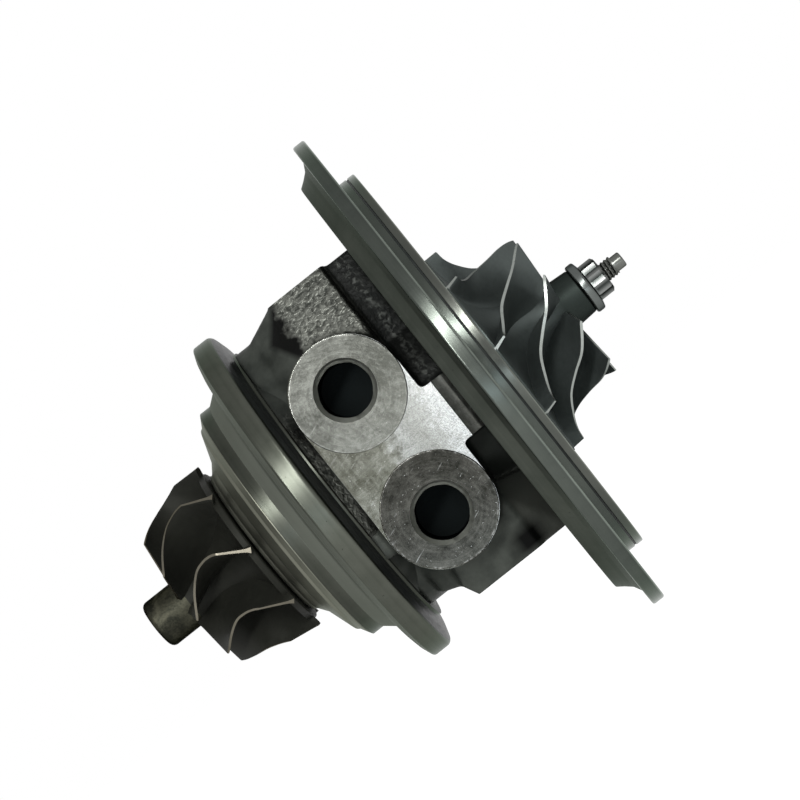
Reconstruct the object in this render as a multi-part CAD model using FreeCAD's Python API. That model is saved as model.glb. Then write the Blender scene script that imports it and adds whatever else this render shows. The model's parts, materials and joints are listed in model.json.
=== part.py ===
import FreeCAD, Part
import os
from math import cos, pi, radians, sin, tan

# Turbo cartridge, in millimetres. X is the shaft, with the compressor wheel on its +X side.
# The origin is the middle of the compressor flange's rim. +Z is the oil inlet, -Y the coolant ports.

V = FreeCAD.Vector
X_AXIS = V(1, 0, 0)

# Compressor flange and back plate
rim_radius = 57.9
rim_width = 2.8
rim_edge = 0.5
flange_thickness = 6.5
flange_hub_radius = 51.0
flange_blend = 3.0
flange_back_step = 1.4
spigot_height = 1.6
gasket_thickness = 0.4
gasket_setback = 0.7
gasket_bore_clearance = 1.8
gasket_hole_clearance = 0.6
plate_radius = 46.5
plate_rim_width = 1.6
plate_register_radius = 30.0
plate_register_depth = 5.2
plate_screw_count = 6
plate_screw_setback = 7.5
plate_screw_radius = 2.0
plate_screw_length = 7.0
screw_head_radius = 3.8
screw_head_height = 2.0
first_screw_angle = 30.0
o_ring_thickness = 1.8
o_ring_squeeze = 0.02
o_ring_groove_depth = 1.4
o_ring_groove_play = 0.2

# Neck and cast body
neck_length = 6.1
neck_radius = 24.0
body_length = 24.4
body_front = 26.0
body_back = 25.0
body_top = 31.4
body_bottom = 30.2
front_flat_top = 18.0
front_flat_bottom = 12.0
back_flat_top = 14.0
back_flat_bottom = 16.0
bottom_flat_front = 14.0
bottom_flat_back = 12.0
cast_round = 8.0
block_round = 3.0
inlet_top = 35.1
inlet_length = 13.4
inlet_slope_length = 9.0
inlet_front = 19.0
inlet_back = 14.0
inlet_face_reach = 1.2
inlet_face_foot = 17.0
drain_bottom = 33.7
drain_length = 14.8
drain_half_width = 24.0
drain_slope_length = 6.0
drain_block_depth = 12.0
neck_web_drop = 1.3
neck_web_lift = 0.4
top_web_half_width = 11.0
bottom_web_half_width = 15.0
web_sink = 2.0

# Coolant bosses and the web that joins them to the flange
boss_plane = 30.0
boss_radius = 11.4
boss_height = 0.4
boss_x = -22.0
boss_spacing = 28.0
boss_drop = 1.8
port_offset = 0.85
port_radius = 5.25
port_mouth_radius = 6.2
port_depth = 14.0
coolant_drilling_radius = 3.0
web_drop = 0.4
web_half_width = 6.4
web_step = 2.6
web_step_setback = 3.2
web_step_length = 2.0
rib_width = 5.5
rib_drop = 14.7
rib_setback = 0.8
rib_sink = 3.0

# Turbine flange and nose
v_rim_radius = 39.0
v_rim_width = 3.6
v_rim_back_slope = 2.4
v_rim_front = 1.6
v_rim_corner = 1.6
v_base_radius = 33.0
v_base_land = 0.9
v_face_land = 2.4
v_face_slope = 0.5
v_foot_length = 3.0
v_foot_drop = 4.0
cone_radius = 30.0
cone_length = 2.8
cone_step = 0.6
turbine_register_radius = 28.0
turbine_register_width = 2.8
nose_radius = 11.5
nose_shoulder_depth = 1.6
nose_shoulder_width = 4.0

# Heat shield
shield_thickness = 0.8
shield_rim_radius = 27.6
shield_dome_radius = 20.2
shield_dome_depth = 3.0
shield_cup_radius = 17.2
shield_cup_depth = 2.6
shield_rim_land = 2.4
shield_lip = 0.9
shield_bore_clearance = 0.05

# Wheels
blade_count = 9
turbine_gap = 0.4
turbine_tip_radius = 20.1
turbine_tip_width = 6.4
turbine_exit_radius = 15.8
turbine_exit_length = 17.6
turbine_disc_radius = 18.2
turbine_disc_thickness = 1.4
turbine_nose_radius = 5.3
turbine_length = 26.6
turbine_nose_edge = 1.2
weld_boss_length = 1.2
compressor_gap = 0.6
compressor_tip_radius = 24.1
compressor_tip_width = 2.0
compressor_disc_edge = 0.6
compressor_inlet_radius = 16.9
compressor_inlet_length = 16.2
compressor_length = 20.6
compressor_nose_radius = 5.0
compressor_eye_radius = 5.5
blade_root_thickness = 1.5
blade_tip_thickness = 0.6
blade_sink = 0.5
hub_steps = 12
turbine_hub_share = 0.62
turbine_exit_rake = 1.6
turbine_foot_angle = 24.0
compressor_hub_share = 0.62
compressor_shroud_share = 0.33

# Blade stations: share along the hub curve and its angle, share along the outer curve and its angle
COMPRESSOR_BLADE = [(0.0, 40.0, 0.0, 40.5), (0.12, 39.0, 0.2, 37.5), (0.3, 36.0, 0.42, 31.0),
                    (0.5, 27.0, 0.68, 19.5), (0.7, 14.5, 1.0, 8.5)]
TURBINE_BLADE = [(0.1, -3.5, 0.1, -12.5), (0.28, -8.0, 0.26, -13.4), (0.5, -12.0, 0.48, -12.5),
                 (0.78, -9.0, 0.75, -4.5)]

# Shaft, nut and rings
journal_radius = 4.0
relief_radius = 3.6
stub_shaft_radius = 2.5
thread_radius = 2.25
thread_length = 2.2
end_radius = 1.65
end_length = 2.2
hub_radius = 7.6
hub_clearance = 0.2
hub_length = 7.5
nut_flange_radius = 5.8
nut_flange_height = 2.2
nut_width = 7.8
nut_height = 3.8
nut_points = 12
ring_width = 1.2
ring_height = 1.1
ring_side_clearance = 0.1
ring_gap = 0.3

# Floating bushes and their snap rings
bush_length = 7.0
bush_wall = 2.96
bush_inner_clearance = 0.02
bush_outer_clearance = 0.04
bush_end_clearance = 0.2
bush_hole_count = 6
bush_hole_radius = 0.8
bush_relief = 2.4
bush_relief_depth = 2.0
snap_ring_width = 0.9
snap_ring_height = 1.4
snap_ring_depth = 0.5
snap_ring_gap = 2.4
turbine_bush_offset = 6.6
compressor_bush_offset = 3.8

# Thrust bearing, collar and seal
thrust_thickness = 3.0
thrust_play = 0.04
thrust_radius = 17.0
thrust_setback = 4.2
thrust_pin_radius = 1.25
thrust_pin_circle = 13.5
thrust_pin_length = 6.0
first_pin_angle = 60.0
thrust_flat_share = 0.72
thrust_oil_hole_setback = 2.2
thrust_oil_way_radius = 0.6
collar_radius = 7.8
collar_length = 2.0
collar_hub_radius = 5.4
collar_clearance = 0.2
cavity_radius = 20.0
seal_radius = 6.4
seal_clearance = 0.2
deflector_thickness = 0.8
deflector_overlap = 1.6
deflector_hole_clearance = 0.8
deflector_tongue = 6.0
deflector_fit = 0.05
deflector_foot_setback = 2.0

# Oil and coolant passages
oil_inlet_radius = 4.45
oil_inlet_depth = 12.0
oil_drilling_radius = 1.5
oil_gallery_radius = 2.0
port_chamfer = 0.6
drain_radius = 6.0
drain_neck = 7.0
drain_half_slot = 9.0
drain_slot_clearance = 2.0
drain_bolt_spacing = 34.0
drain_bolt_radius = 2.5
drain_bolt_depth = 11.0
jacket_wall = 2.7
jacket_inner_radius = 13.5
jacket_outer_radius = 24.0
jacket_length = 10.0
jacket_round = 2.0
core_plug_radius = 7.5
core_plug_depth = 4.0
core_plug_wall = 0.8
core_plug_setback = 12.8
core_plug_pad = 2.4
core_plug_pad_height = 1.0
core_hole_depth = 10.0
core_passage_radius = 3.5
core_passage_lift = 1.0
gallery_plug_radius = 2.0
gallery_plug_length = 4.0
gallery_plug_setback = 3.0
gallery_plug_lift = 1.0
plate_pocket_clearance = 0.02
past = 1.0

# Stations along the shaft
rim_front = rim_width / 2
rim_back = -rim_width / 2
flange_back = rim_front - flange_thickness
spigot_front = rim_front + spigot_height
plate_seat = spigot_front + gasket_thickness
plate_front = plate_seat + plate_rim_width
plate_back = plate_front - plate_rim_width - plate_register_depth
wheel_back = plate_front + compressor_gap
wheel_front = wheel_back + compressor_length
body_end = flange_back - neck_length
body_start = body_end - body_length
v_rim_back = body_start - v_rim_back_slope
v_rim_end = v_rim_back - v_rim_width
v_rim_face = v_rim_end - v_rim_front
cone_start = v_rim_face - cone_step
cone_end = cone_start - cone_length + cone_step
register_end = cone_end - turbine_register_width
shield_cup_x = register_end - shield_thickness - shield_dome_depth
shield_front = shield_cup_x - shield_cup_depth
turbine_back = shield_front - turbine_gap
nose_end = shield_front + turbine_gap
thrust_seat = flange_back - thrust_setback
thrust_front = thrust_seat + thrust_thickness
shoulder = thrust_seat - collar_length - thrust_play

# Radii that follow from the shaft and its clearances
plate_screw_circle = plate_register_radius + plate_screw_setback
bush_inner_radius = journal_radius + bush_inner_clearance
bush_outer_radius = bush_inner_radius + bush_wall
bush_bore = bush_outer_radius + bush_outer_clearance
hub_bore = hub_radius + hub_clearance
seal_bore = seal_radius + seal_clearance
hub_end = turbine_back + weld_boss_length + hub_length
compressor_bush_end = shoulder - compressor_bush_offset
compressor_bush_start = compressor_bush_end - bush_length
turbine_bush_start = hub_end + turbine_bush_offset
turbine_bush_end = turbine_bush_start + bush_length


def outline(corners):
    """Closed flat face through 3-D corners, each given with the radius that rounds it."""
    count = len(corners)
    starts = []
    ends = []
    middles = []
    for i in range(count):
        corner, radius = corners[i]
        before = corners[i - 1][0] - corner
        after = corners[(i + 1) % count][0] - corner
        reach = 0.49 * min(before.Length, after.Length)
        before.normalize()
        after.normalize()
        half = before.getAngle(after) / 2
        cut = min(radius / tan(half), reach) if radius > 0 else 0
        starts.append(corner + before * cut)
        ends.append(corner + after * cut)
        if cut > 0:
            towards = before + after
            towards.normalize()
            rounding = cut * tan(half)
            middles.append(corner + towards * (rounding / sin(half) - rounding))
        else:
            middles.append(None)
    edges = []
    for i in range(count):
        if middles[i] is not None:
            edges.append(Part.Arc(starts[i], middles[i], ends[i]).toShape())
        edges.append(Part.makeLine(ends[i], starts[(i + 1) % count]))
    return Part.Face(Part.Wire(edges))


def spread(points):
    """Corner and rounding radius of each point, where the radius may be left out."""
    return [(p[0], p[1], p[2] if len(p) > 2 else 0) for p in points]


def turned(points, angle=360):
    """Solid turned about the shaft from (x, radius) or (x, radius, rounding) points."""
    face = outline([(V(x, 0, r), rounding) for x, r, rounding in spread(points)])
    return face.revolve(V(0, 0, 0), X_AXIS, angle)


def ring(x_from, x_to, inner, outer):
    """Plain turned ring or disc about the shaft."""
    return turned([(x_from, inner), (x_to, inner), (x_to, outer), (x_from, outer)])


def disc(x_from, x_to, radius):
    """Plain cylinder on the shaft axis."""
    return Part.makeCylinder(radius, x_to - x_from, V(x_from, 0, 0), X_AXIS)


def rod(start, end, radius):
    """Cylinder between two points."""
    return Part.makeCylinder(radius, (end - start).Length, start, end - start)


def section_prism(x_from, x_to, points):
    """Block along the shaft with a (y, z) or (y, z, rounding) outline."""
    face = outline([(V(x_from, y, z), rounding) for y, z, rounding in spread(points)])
    return face.extrude(V(x_to - x_from, 0, 0))


def front_prism(y_from, y_to, points):
    """Block along Y with an (x, z) or (x, z, rounding) outline."""
    face = outline([(V(x, y_from, z), rounding) for x, z, rounding in spread(points)])
    return face.extrude(V(0, y_to - y_from, 0))


def plan_prism(z_from, z_to, points):
    """Block along Z with an (x, y) or (x, y, rounding) outline."""
    face = outline([(V(x, y, z_from), rounding) for x, y, rounding in spread(points)])
    return face.extrude(V(0, 0, z_to - z_from))


def box(x_from, x_to, y_from, y_to, z_from, z_to):
    return Part.makeBox(x_to - x_from, y_to - y_from, z_to - z_from, V(x_from, y_from, z_from))


def around(shape, count, first=0):
    """Copies of a shape spaced evenly round the shaft."""
    copies = []
    for i in range(count):
        copy = shape.copy()
        copy.rotate(V(0, 0, 0), X_AXIS, first + 360 * i / count)
        copies.append(copy)
    return copies


def split_ring(x_from, x_to, inner, outer, gap):
    """Ring with a gap at its top."""
    return ring(x_from, x_to, inner, outer).cut(box(x_from, x_to, -gap / 2, gap / 2, 0, outer + 1))


boss_heights = [boss_spacing / 2 - boss_drop, -boss_spacing / 2 - boss_drop]
port_heights = [boss_heights[0] + port_offset, boss_heights[1] - port_offset]
inlet_x = body_end - inlet_length / 2
drain_x = body_end - drain_length / 2
web_z = -boss_drop - web_drop
pad_plane = boss_plane - boss_height
jacket_start = register_end + jacket_wall
jacket_end = jacket_start + jacket_length
gallery_top = V(inlet_x, 0, inlet_top - oil_inlet_depth)
gallery_foot = V(inlet_x, 0, jacket_inner_radius)


def turned_housing():
    """Compressor flange, neck core, turbine flange and nose as one turned form."""
    return turned([
        (nose_end, 0),
        (nose_end, nose_radius, 0.6),
        (register_end + nose_shoulder_depth, nose_radius, 1.0),
        (register_end, nose_radius + nose_shoulder_width, 1.0),
        (register_end, turbine_register_radius, 0.3),
        (cone_end, turbine_register_radius),
        (cone_start, cone_radius),
        (v_rim_face, cone_radius, 0.4),
        (v_rim_face, v_base_radius + v_face_land, 1.0),
        (v_rim_face + v_face_slope, v_rim_radius, v_rim_corner),
        (v_rim_back, v_rim_radius, 0.4),
        (body_start - v_base_land, v_base_radius, 0.3),
        (body_start, v_base_radius, 0.6),
        (body_start + v_foot_length, v_base_radius - v_foot_drop, 1.0),
        (body_start + 2 * v_foot_length, neck_radius, 1.0),
        (flange_back, neck_radius, 0.8),
        (flange_back, flange_hub_radius - flange_back_step / 2, 0.8),
        (flange_back + flange_back_step, flange_hub_radius + flange_back_step, 0.6),
        (rim_back - flange_back_step / 2, flange_hub_radius + flange_blend, 0.8),
        (rim_back, flange_hub_radius + 1.3 * flange_blend, 0.6),
        (rim_back, rim_radius, rim_edge),
        (rim_front, rim_radius, rim_edge),
        (rim_front, plate_radius),
        (spigot_front, plate_radius, 0.2),
        (spigot_front, 0),
    ])


def cast_body():
    """Cast block between the two flanges, with the oil inlet's block on top and the drain's below."""
    core = section_prism(body_start, body_end, [
        (-body_front, -front_flat_bottom, cast_round), (-body_front, front_flat_top, cast_round),
        (-inlet_front, body_top, block_round), (inlet_back, body_top, cast_round),
        (body_back, back_flat_top, cast_round), (body_back, -back_flat_bottom, cast_round),
        (bottom_flat_back, -body_bottom, cast_round), (-bottom_flat_front, -body_bottom, cast_round)])
    return core.fuse([inlet_block(), inlet_face(), drain_block()])


def inlet_block():
    """Raised block of the oil inlet, which slopes down towards the turbine."""
    slope_top = body_end - inlet_length
    slope_foot = slope_top - inlet_slope_length
    side = front_prism(-inlet_front, inlet_back, [
        (slope_foot, 0), (slope_foot, body_top, 2), (slope_top, inlet_top, block_round),
        (body_end, inlet_top), (body_end, 0)])
    plan = plan_prism(0, inlet_top, [
        (slope_foot, -inlet_front / 2, 2), (slope_top, -inlet_front, 1.5), (body_end, -inlet_front),
        (body_end, inlet_back, 2), (slope_foot, inlet_back, block_round)])
    return side.common(plan)


def inlet_face():
    """Front of the inlet's block, which slopes back from the coolant pad up to the inlet."""
    return section_prism(body_end - inlet_length, body_end, [
        (-body_front - inlet_face_reach, inlet_face_foot), (-inlet_front, inlet_top),
        (0, inlet_top), (0, inlet_face_foot)])


def drain_block():
    """Block with the oil drain's flat face."""
    block_top = drain_block_depth - drain_bottom
    slope_top = body_end - drain_length
    slope_foot = slope_top - drain_slope_length
    side = front_prism(-drain_half_width, drain_half_width, [
        (slope_foot, block_top), (slope_foot, -body_bottom, 2), (slope_top, -drain_bottom, block_round),
        (body_end, -drain_bottom), (body_end, block_top)])
    section = section_prism(body_start, body_end, [
        (-drain_half_width, block_top), (-drain_half_width, -drain_bottom, block_round),
        (drain_half_width, -drain_bottom, block_round), (drain_half_width, block_top)])
    return side.common(section)


def neck_webs():
    """Webs that carry the body across the neck to the flange, above and below."""
    top_z = inlet_top - neck_web_drop
    bottom_z = neck_web_lift - drain_bottom
    top = section_prism(body_end - web_sink, flange_back + web_sink, [
        (-top_web_half_width, 0), (-top_web_half_width, top_z, 2),
        (top_web_half_width, top_z, 2), (top_web_half_width, 0)])
    bottom = section_prism(body_end - web_sink, flange_back + web_sink, [
        (-bottom_web_half_width, 0), (-bottom_web_half_width, bottom_z, block_round),
        (bottom_web_half_width, bottom_z, block_round), (bottom_web_half_width, 0)])
    return [top, bottom]


def port_platform():
    """Raised pad with the two coolant bosses, its web to the flange and the rib to the turbine flange."""
    left = boss_x - boss_radius
    right = boss_x + boss_radius
    top = boss_heights[0] + boss_radius
    bottom = boss_heights[1] - boss_radius
    pad = front_prism(-pad_plane, 0, [
        (left, bottom, boss_radius), (left, top, boss_radius),
        (right, top, boss_radius), (right, bottom, boss_radius)])
    step_start = flange_back - web_step_setback
    step_end = step_start + web_step_length
    step_plane = web_step - pad_plane
    web = plan_prism(web_z - web_half_width, web_z + web_half_width, [
        (boss_x, 0), (boss_x, -pad_plane), (step_start, -pad_plane, 1.5),
        (step_end, step_plane, 1.0), (flange_back + web_sink, step_plane), (flange_back + web_sink, 0)])
    rib_top = rib_width / 2 - rib_drop
    rib = box(body_start - 0.5, left + rib_sink, rib_setback - pad_plane, 0, rib_top - rib_width, rib_top)
    bosses = [rod(V(boss_x, 0, z), V(boss_x, -boss_plane, z), boss_radius) for z in boss_heights]
    return [pad, web, rib] + bosses


def port_cuts():
    """Threaded coolant ports with their chamfered mouths and the drillings into the jacket."""
    cuts = []
    mouth = port_mouth_radius - port_radius
    for z in port_heights:
        face = V(boss_x, -boss_plane - past, z)
        floor = V(boss_x, port_depth - boss_plane, z)
        cuts.append(rod(face, floor, port_radius))
        cuts.append(Part.makeCone(port_mouth_radius + past, port_radius, mouth + past, face, V(0, 1, 0)))
        jacket_z = jacket_inner_radius * z / abs(z)
        inner = V(jacket_end - coolant_drilling_radius - past, floor.y + coolant_drilling_radius, jacket_z)
        cuts.append(rod(floor - V(0, past / 2, 0), inner, coolant_drilling_radius))
    return cuts


def oil_cuts():
    """Oil inlet, gallery drillings to both bushes and the thrust bearing, drain cavity and drain holes."""
    down = V(0, 0, -1)
    mouth = V(inlet_x, 0, inlet_top + past)
    cuts = [
        Part.makeCylinder(oil_inlet_radius, oil_inlet_depth + past, mouth, down),
        Part.makeCone(oil_inlet_radius + port_chamfer + past, oil_inlet_radius,
                      port_chamfer + past, mouth, down),
        rod(gallery_top + V(0, 0, past), gallery_foot, oil_gallery_radius),
    ]
    bush_line = bush_bore - past
    turbine_feed = V(turbine_bush_start + bush_length / 2, 0, bush_line)
    compressor_feed = V(compressor_bush_start + bush_length / 2, 0, bush_line)
    thrust_feed = V(thrust_seat + past / 2, 0, collar_radius + thrust_oil_hole_setback)
    for foot in (turbine_feed, compressor_feed, thrust_feed):
        cuts.append(rod(gallery_foot + V(0, 0, past), foot, oil_drilling_radius))
    plug_face = body_back - gallery_plug_setback
    cuts.append(rod(gallery_line(0), gallery_line(plug_face), oil_drilling_radius))
    cuts.append(rod(gallery_line(plug_face - gallery_plug_length), gallery_line(body_back + past),
                    gallery_plug_radius))

    cavity_start = turbine_bush_end + drain_slot_clearance + past
    cavity_end = compressor_bush_start - drain_slot_clearance
    cavity_floor = drain_neck - drain_bottom
    cuts.append(box(cavity_start, cavity_end, -drain_half_slot, drain_half_slot, cavity_floor, 0))
    cuts.append(disc(cavity_start, cavity_end, drain_half_slot))
    cuts.append(box(cavity_start, thrust_front, -drain_half_slot, drain_half_slot,
                    cavity_floor, -bush_bore - drain_half_slot))
    cuts.append(rod(V(drain_x, 0, -drain_bottom - past), V(drain_x, 0, cavity_floor + past), drain_radius))
    for y in (-drain_bolt_spacing / 2, drain_bolt_spacing / 2):
        cuts.append(rod(V(drain_x, y, -drain_bottom - past), V(drain_x, y, drain_bolt_depth - drain_bottom),
                        drain_bolt_radius))
    return cuts


def bore_cuts():
    """Bores on the shaft axis, from the turbine seal to the back plate's pocket, and the coolant jacket."""
    cuts = [
        disc(nose_end - past, hub_end + past / 2, hub_bore),
        disc(hub_end, turbine_bush_start - bush_relief, hub_bore + bush_relief_depth),
        disc(hub_end, shoulder, bush_bore),
        disc(compressor_bush_end + bush_relief, thrust_seat + thrust_thickness / 2,
             collar_radius + port_chamfer),
        disc(thrust_seat, plate_back, cavity_radius),
        disc(plate_back - deflector_thickness, plate_front, cavity_radius + deflector_overlap),
        disc(plate_back, plate_front, plate_register_radius + plate_pocket_clearance),
    ]
    for start, end in ring_seats():
        cuts.append(ring(start, end, bush_bore / 2, bush_bore + snap_ring_depth))
    jacket = turned([
        (jacket_start, jacket_inner_radius, jacket_round),
        (jacket_start, jacket_outer_radius, jacket_round),
        (jacket_end, jacket_outer_radius, jacket_round),
        (jacket_end, jacket_inner_radius, jacket_round)])
    return cuts + [jacket]


def ring_seats():
    """Places of the four snap rings, on both sides of each bush."""
    seats = []
    bushes = [(turbine_bush_start, turbine_bush_end), (compressor_bush_start, compressor_bush_end)]
    for start, end in bushes:
        seats.append((start - bush_end_clearance - snap_ring_width, start - bush_end_clearance))
        seats.append((end + bush_end_clearance, end + bush_end_clearance + snap_ring_width))
    return seats


def plate_screws():
    """Countersunk screws that hold the back plate. The same shapes cut their holes."""
    head_foot = plate_front - screw_head_height
    head = Part.makeCone(plate_screw_radius, screw_head_radius, screw_head_height,
                         V(head_foot, 0, plate_screw_circle), X_AXIS)
    shank = rod(V(plate_front - plate_screw_length, 0, plate_screw_circle),
                V(head_foot, 0, plate_screw_circle), plate_screw_radius)
    return around(head.fuse(shank), plate_screw_count, first_screw_angle)


def core_plug_line(y):
    """Point on the core plug's middle line, behind the shaft."""
    return V(body_end - core_plug_setback, y, -boss_drop)


def core_plug_cuts():
    """Core hole from the back of the casting, and the passage from it into the jacket."""
    floor = body_back - core_hole_depth
    hole = rod(core_plug_line(floor), core_plug_line(body_back + core_plug_pad_height + past),
               core_plug_radius)
    start = core_plug_line(floor + core_passage_radius + core_passage_lift)
    passage = rod(start, V(jacket_end - core_passage_radius, start.y, start.z), core_passage_radius)
    return [hole, passage]


def coolant_core_plug():
    """Pressed steel cup, open to the outside."""
    face = body_back
    cup = rod(core_plug_line(face - core_plug_depth), core_plug_line(face), core_plug_radius)
    hollow = rod(core_plug_line(face - core_plug_depth + core_plug_wall), core_plug_line(face + past),
                 core_plug_radius - core_plug_wall)
    return cup.cut(hollow)


def core_plug_seat():
    """Cast pad that the core plug is pressed into."""
    return rod(core_plug_line(0), core_plug_line(body_back + core_plug_pad_height),
               core_plug_radius + core_plug_pad)


def bearing_housing():
    body = turned_housing().fuse([cast_body(), core_plug_seat()] + neck_webs() + port_platform())
    passages = bore_cuts() + oil_cuts() + port_cuts() + core_plug_cuts()
    return body.cut(passages + plate_screws() + thrust_pins())


def thrust_pins():
    pin = rod(V(thrust_seat - thrust_pin_length / 2, 0, thrust_pin_circle),
              V(thrust_seat + thrust_pin_length / 2, 0, thrust_pin_circle), thrust_pin_radius)
    return around(pin, 2, first_pin_angle)


def gallery_line(y):
    """Point on the cross drilling that meets the oil gallery from behind."""
    return gallery_foot + V(0, y, gallery_plug_radius + gallery_plug_lift)


def oil_gallery_plug():
    """Headless plug at the mouth of the cross drilling."""
    face = body_back - gallery_plug_setback
    return rod(gallery_line(face - gallery_plug_length), gallery_line(face), gallery_plug_radius)


def back_plate():
    plate = turned([
        (plate_back, seal_bore, 0.3), (plate_back, plate_register_radius, 0.4),
        (plate_seat, plate_register_radius), (plate_seat, plate_radius, 0.2),
        (plate_front, plate_radius, 0.6), (plate_front, seal_bore, 0.3)])
    half = o_ring_thickness / 2 + o_ring_groove_play
    groove = ring(o_ring_x() - half, o_ring_x() + half,
                  plate_register_radius - o_ring_groove_depth, plate_register_radius + past)
    return plate.cut([groove] + plate_screws())


def o_ring_x():
    return (plate_back + plate_seat) / 2


def back_plate_o_ring():
    """Rubber ring squeezed between the groove's floor and the housing's pocket."""
    inner = plate_register_radius - o_ring_groove_depth
    outer = plate_register_radius + o_ring_squeeze
    half = o_ring_thickness / 2
    return turned([
        (o_ring_x() - half, inner, half / 2), (o_ring_x() + half, inner, half / 2),
        (o_ring_x() + half, outer, half / 2), (o_ring_x() - half, outer, half / 2)])


def back_plate_gasket():
    """Thin sheet ring between the housing and the back plate, set back a little from their edges."""
    gasket = ring(spigot_front, plate_seat, plate_register_radius + gasket_bore_clearance,
                  plate_radius - gasket_setback)
    hole = rod(V(spigot_front - past, 0, plate_screw_circle), V(plate_seat + past, 0, plate_screw_circle),
               plate_screw_radius + gasket_hole_clearance)
    return gasket.cut(around(hole, plate_screw_count, first_screw_angle))


def heat_shield():
    """Domed sheet shell with a flat rim on the housing and a cup behind the turbine wheel."""
    t = shield_thickness
    lip_x = shield_cup_x - shield_lip
    hole = nose_radius + shield_bore_clearance
    land = shield_rim_radius - shield_rim_land
    return turned([
        (register_end, land), (register_end, shield_rim_radius),
        (register_end - t, shield_rim_radius, 0.4),
        (register_end - t - shield_lip, shield_rim_radius - t, 0.6),
        (shield_cup_x, shield_dome_radius, 1.2), (lip_x, shield_cup_radius, 0.8),
        (shield_front, shield_cup_radius, 0.5), (shield_front, hole),
        (shield_front + t, hole), (shield_front + t, shield_cup_radius - t, 0.2),
        (lip_x + t, shield_cup_radius - t, 0.2), (shield_cup_x + t, shield_dome_radius - t, 0.6),
        (register_end - shield_lip, land, 0.2)])


def polar(x, radius, angle):
    """Point at an angle counted from -Y towards -Z."""
    a = radians(angle)
    return V(x, -radius * cos(a), -radius * sin(a))


def blade(stations):
    """Ruled blade lofted through stations of (hub x, radius, angle) and (tip x, radius, angle)."""
    hubs = [polar(*hub) for hub, tip in stations]
    tips = [polar(*tip) for hub, tip in stations]
    last = len(stations) - 1
    wires = []
    for i in range(last + 1):
        after = min(i + 1, last)
        before = max(i - 1, 0)
        along = hubs[after] + tips[after] - hubs[before] - tips[before]
        side = (tips[i] - hubs[i]).cross(along)
        side.normalize()
        root = side * (blade_root_thickness / 2)
        tip = side * (blade_tip_thickness / 2)
        corners = [hubs[i] - root, tips[i] - tip, tips[i] + tip, hubs[i] + root]
        wires.append(Part.makePolygon(corners + corners[:1]))
    return Part.makeLoft(wires, True, False)


def quarter(x, radius, length, drop, share):
    """Point on a quarter ellipse that leaves the tip radially and ends along the shaft."""
    turn = share * pi / 2
    return x + length * (1 - cos(turn)), radius - drop * sin(turn)


def compressor_wheel():
    """Machined wheel. Its blades lean forward at the inlet and sweep back at the rim."""
    disc_x = wheel_back + compressor_disc_edge
    hub_length = compressor_length * compressor_hub_share
    hub_drop = compressor_tip_radius - compressor_eye_radius
    points = [(wheel_back, stub_shaft_radius), (wheel_back, compressor_tip_radius, 0.1)]
    for i in range(hub_steps + 1):
        points.append(quarter(disc_x, compressor_tip_radius, hub_length, hub_drop, i / hub_steps))
    points.append((wheel_front, compressor_nose_radius, 0.4))
    points.append((wheel_front, stub_shaft_radius))
    hub = turned(points)

    tip_x = disc_x + compressor_tip_width
    tip_length = compressor_length * compressor_shroud_share
    tip_drop = compressor_tip_radius - compressor_inlet_radius
    stations = []
    for hub_share, hub_angle, tip_share, tip_angle in COMPRESSOR_BLADE:
        hub_x, hub_r = quarter(disc_x, compressor_tip_radius, hub_length, hub_drop, hub_share)
        shroud_x, shroud_r = quarter(tip_x, compressor_tip_radius, tip_length, tip_drop, tip_share)
        sink = blade_sink * sin(hub_share * pi / 2)
        stations.append(((hub_x - blade_sink, hub_r - sink, hub_angle), (shroud_x, shroud_r, tip_angle)))
    inlet_x = wheel_back + compressor_inlet_length
    middle_x = (inlet_x + tip_x + tip_length) / 2
    eye = compressor_eye_radius - blade_sink
    stations.append(((disc_x + hub_length * 0.87, eye, 1.5), (middle_x, compressor_inlet_radius, -2.5)))
    stations.append(((inlet_x - 0.6, eye - 0.2, -15.0), (inlet_x, compressor_inlet_radius, -20.0)))
    wheel = hub.fuse(around(blade(stations), blade_count))
    return wheel.common(ring(wheel_back, wheel_front, 0.5 * stub_shaft_radius, compressor_tip_radius))


def turbine_wheel():
    """Cast wheel with a small boss that the shaft is welded to."""
    disc_x = turbine_back - turbine_disc_thickness
    hub_length = turbine_length * turbine_hub_share
    hub_drop = turbine_disc_radius - turbine_nose_radius
    nose_end_x = turbine_back - turbine_length
    weld_x = turbine_back + weld_boss_length
    points = [(weld_x, 0), (weld_x, hub_radius), (turbine_back, hub_radius),
              (turbine_back, turbine_disc_radius, 0.3)]
    for i in range(hub_steps + 1):
        x, r = quarter(-disc_x, turbine_disc_radius, hub_length, hub_drop, i / hub_steps)
        points.append((-x, r))
    points.append((nose_end_x, turbine_nose_radius, turbine_nose_edge))
    points.append((nose_end_x, 0))
    hub = turned(points)

    tip_x = turbine_back - turbine_tip_width
    exit_x = turbine_back - turbine_exit_length
    edge = (turbine_back - 0.3, turbine_tip_radius, -1.0)
    stations = [(edge, (tip_x, turbine_tip_radius, -11.5))]
    for hub_share, hub_angle, tip_share, tip_angle in TURBINE_BLADE:
        hub_x, hub_r = quarter(-disc_x, turbine_disc_radius, hub_length, hub_drop, hub_share)
        shroud_x = tip_x + (exit_x - tip_x) * tip_share
        shroud_r = turbine_tip_radius + (turbine_exit_radius - turbine_tip_radius) * tip_share
        hub_point = (blade_sink - hub_x, hub_r - blade_sink, hub_angle)
        stations.append((hub_point, (shroud_x, shroud_r, tip_angle)))
    foot = (exit_x - turbine_exit_rake, turbine_nose_radius - blade_sink, turbine_foot_angle)
    stations.append((foot, (exit_x, turbine_exit_radius, 8.5)))
    wheel = hub.fuse(around(blade(stations), blade_count))
    return wheel.common(disc(nose_end_x, weld_x, turbine_tip_radius))


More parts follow.
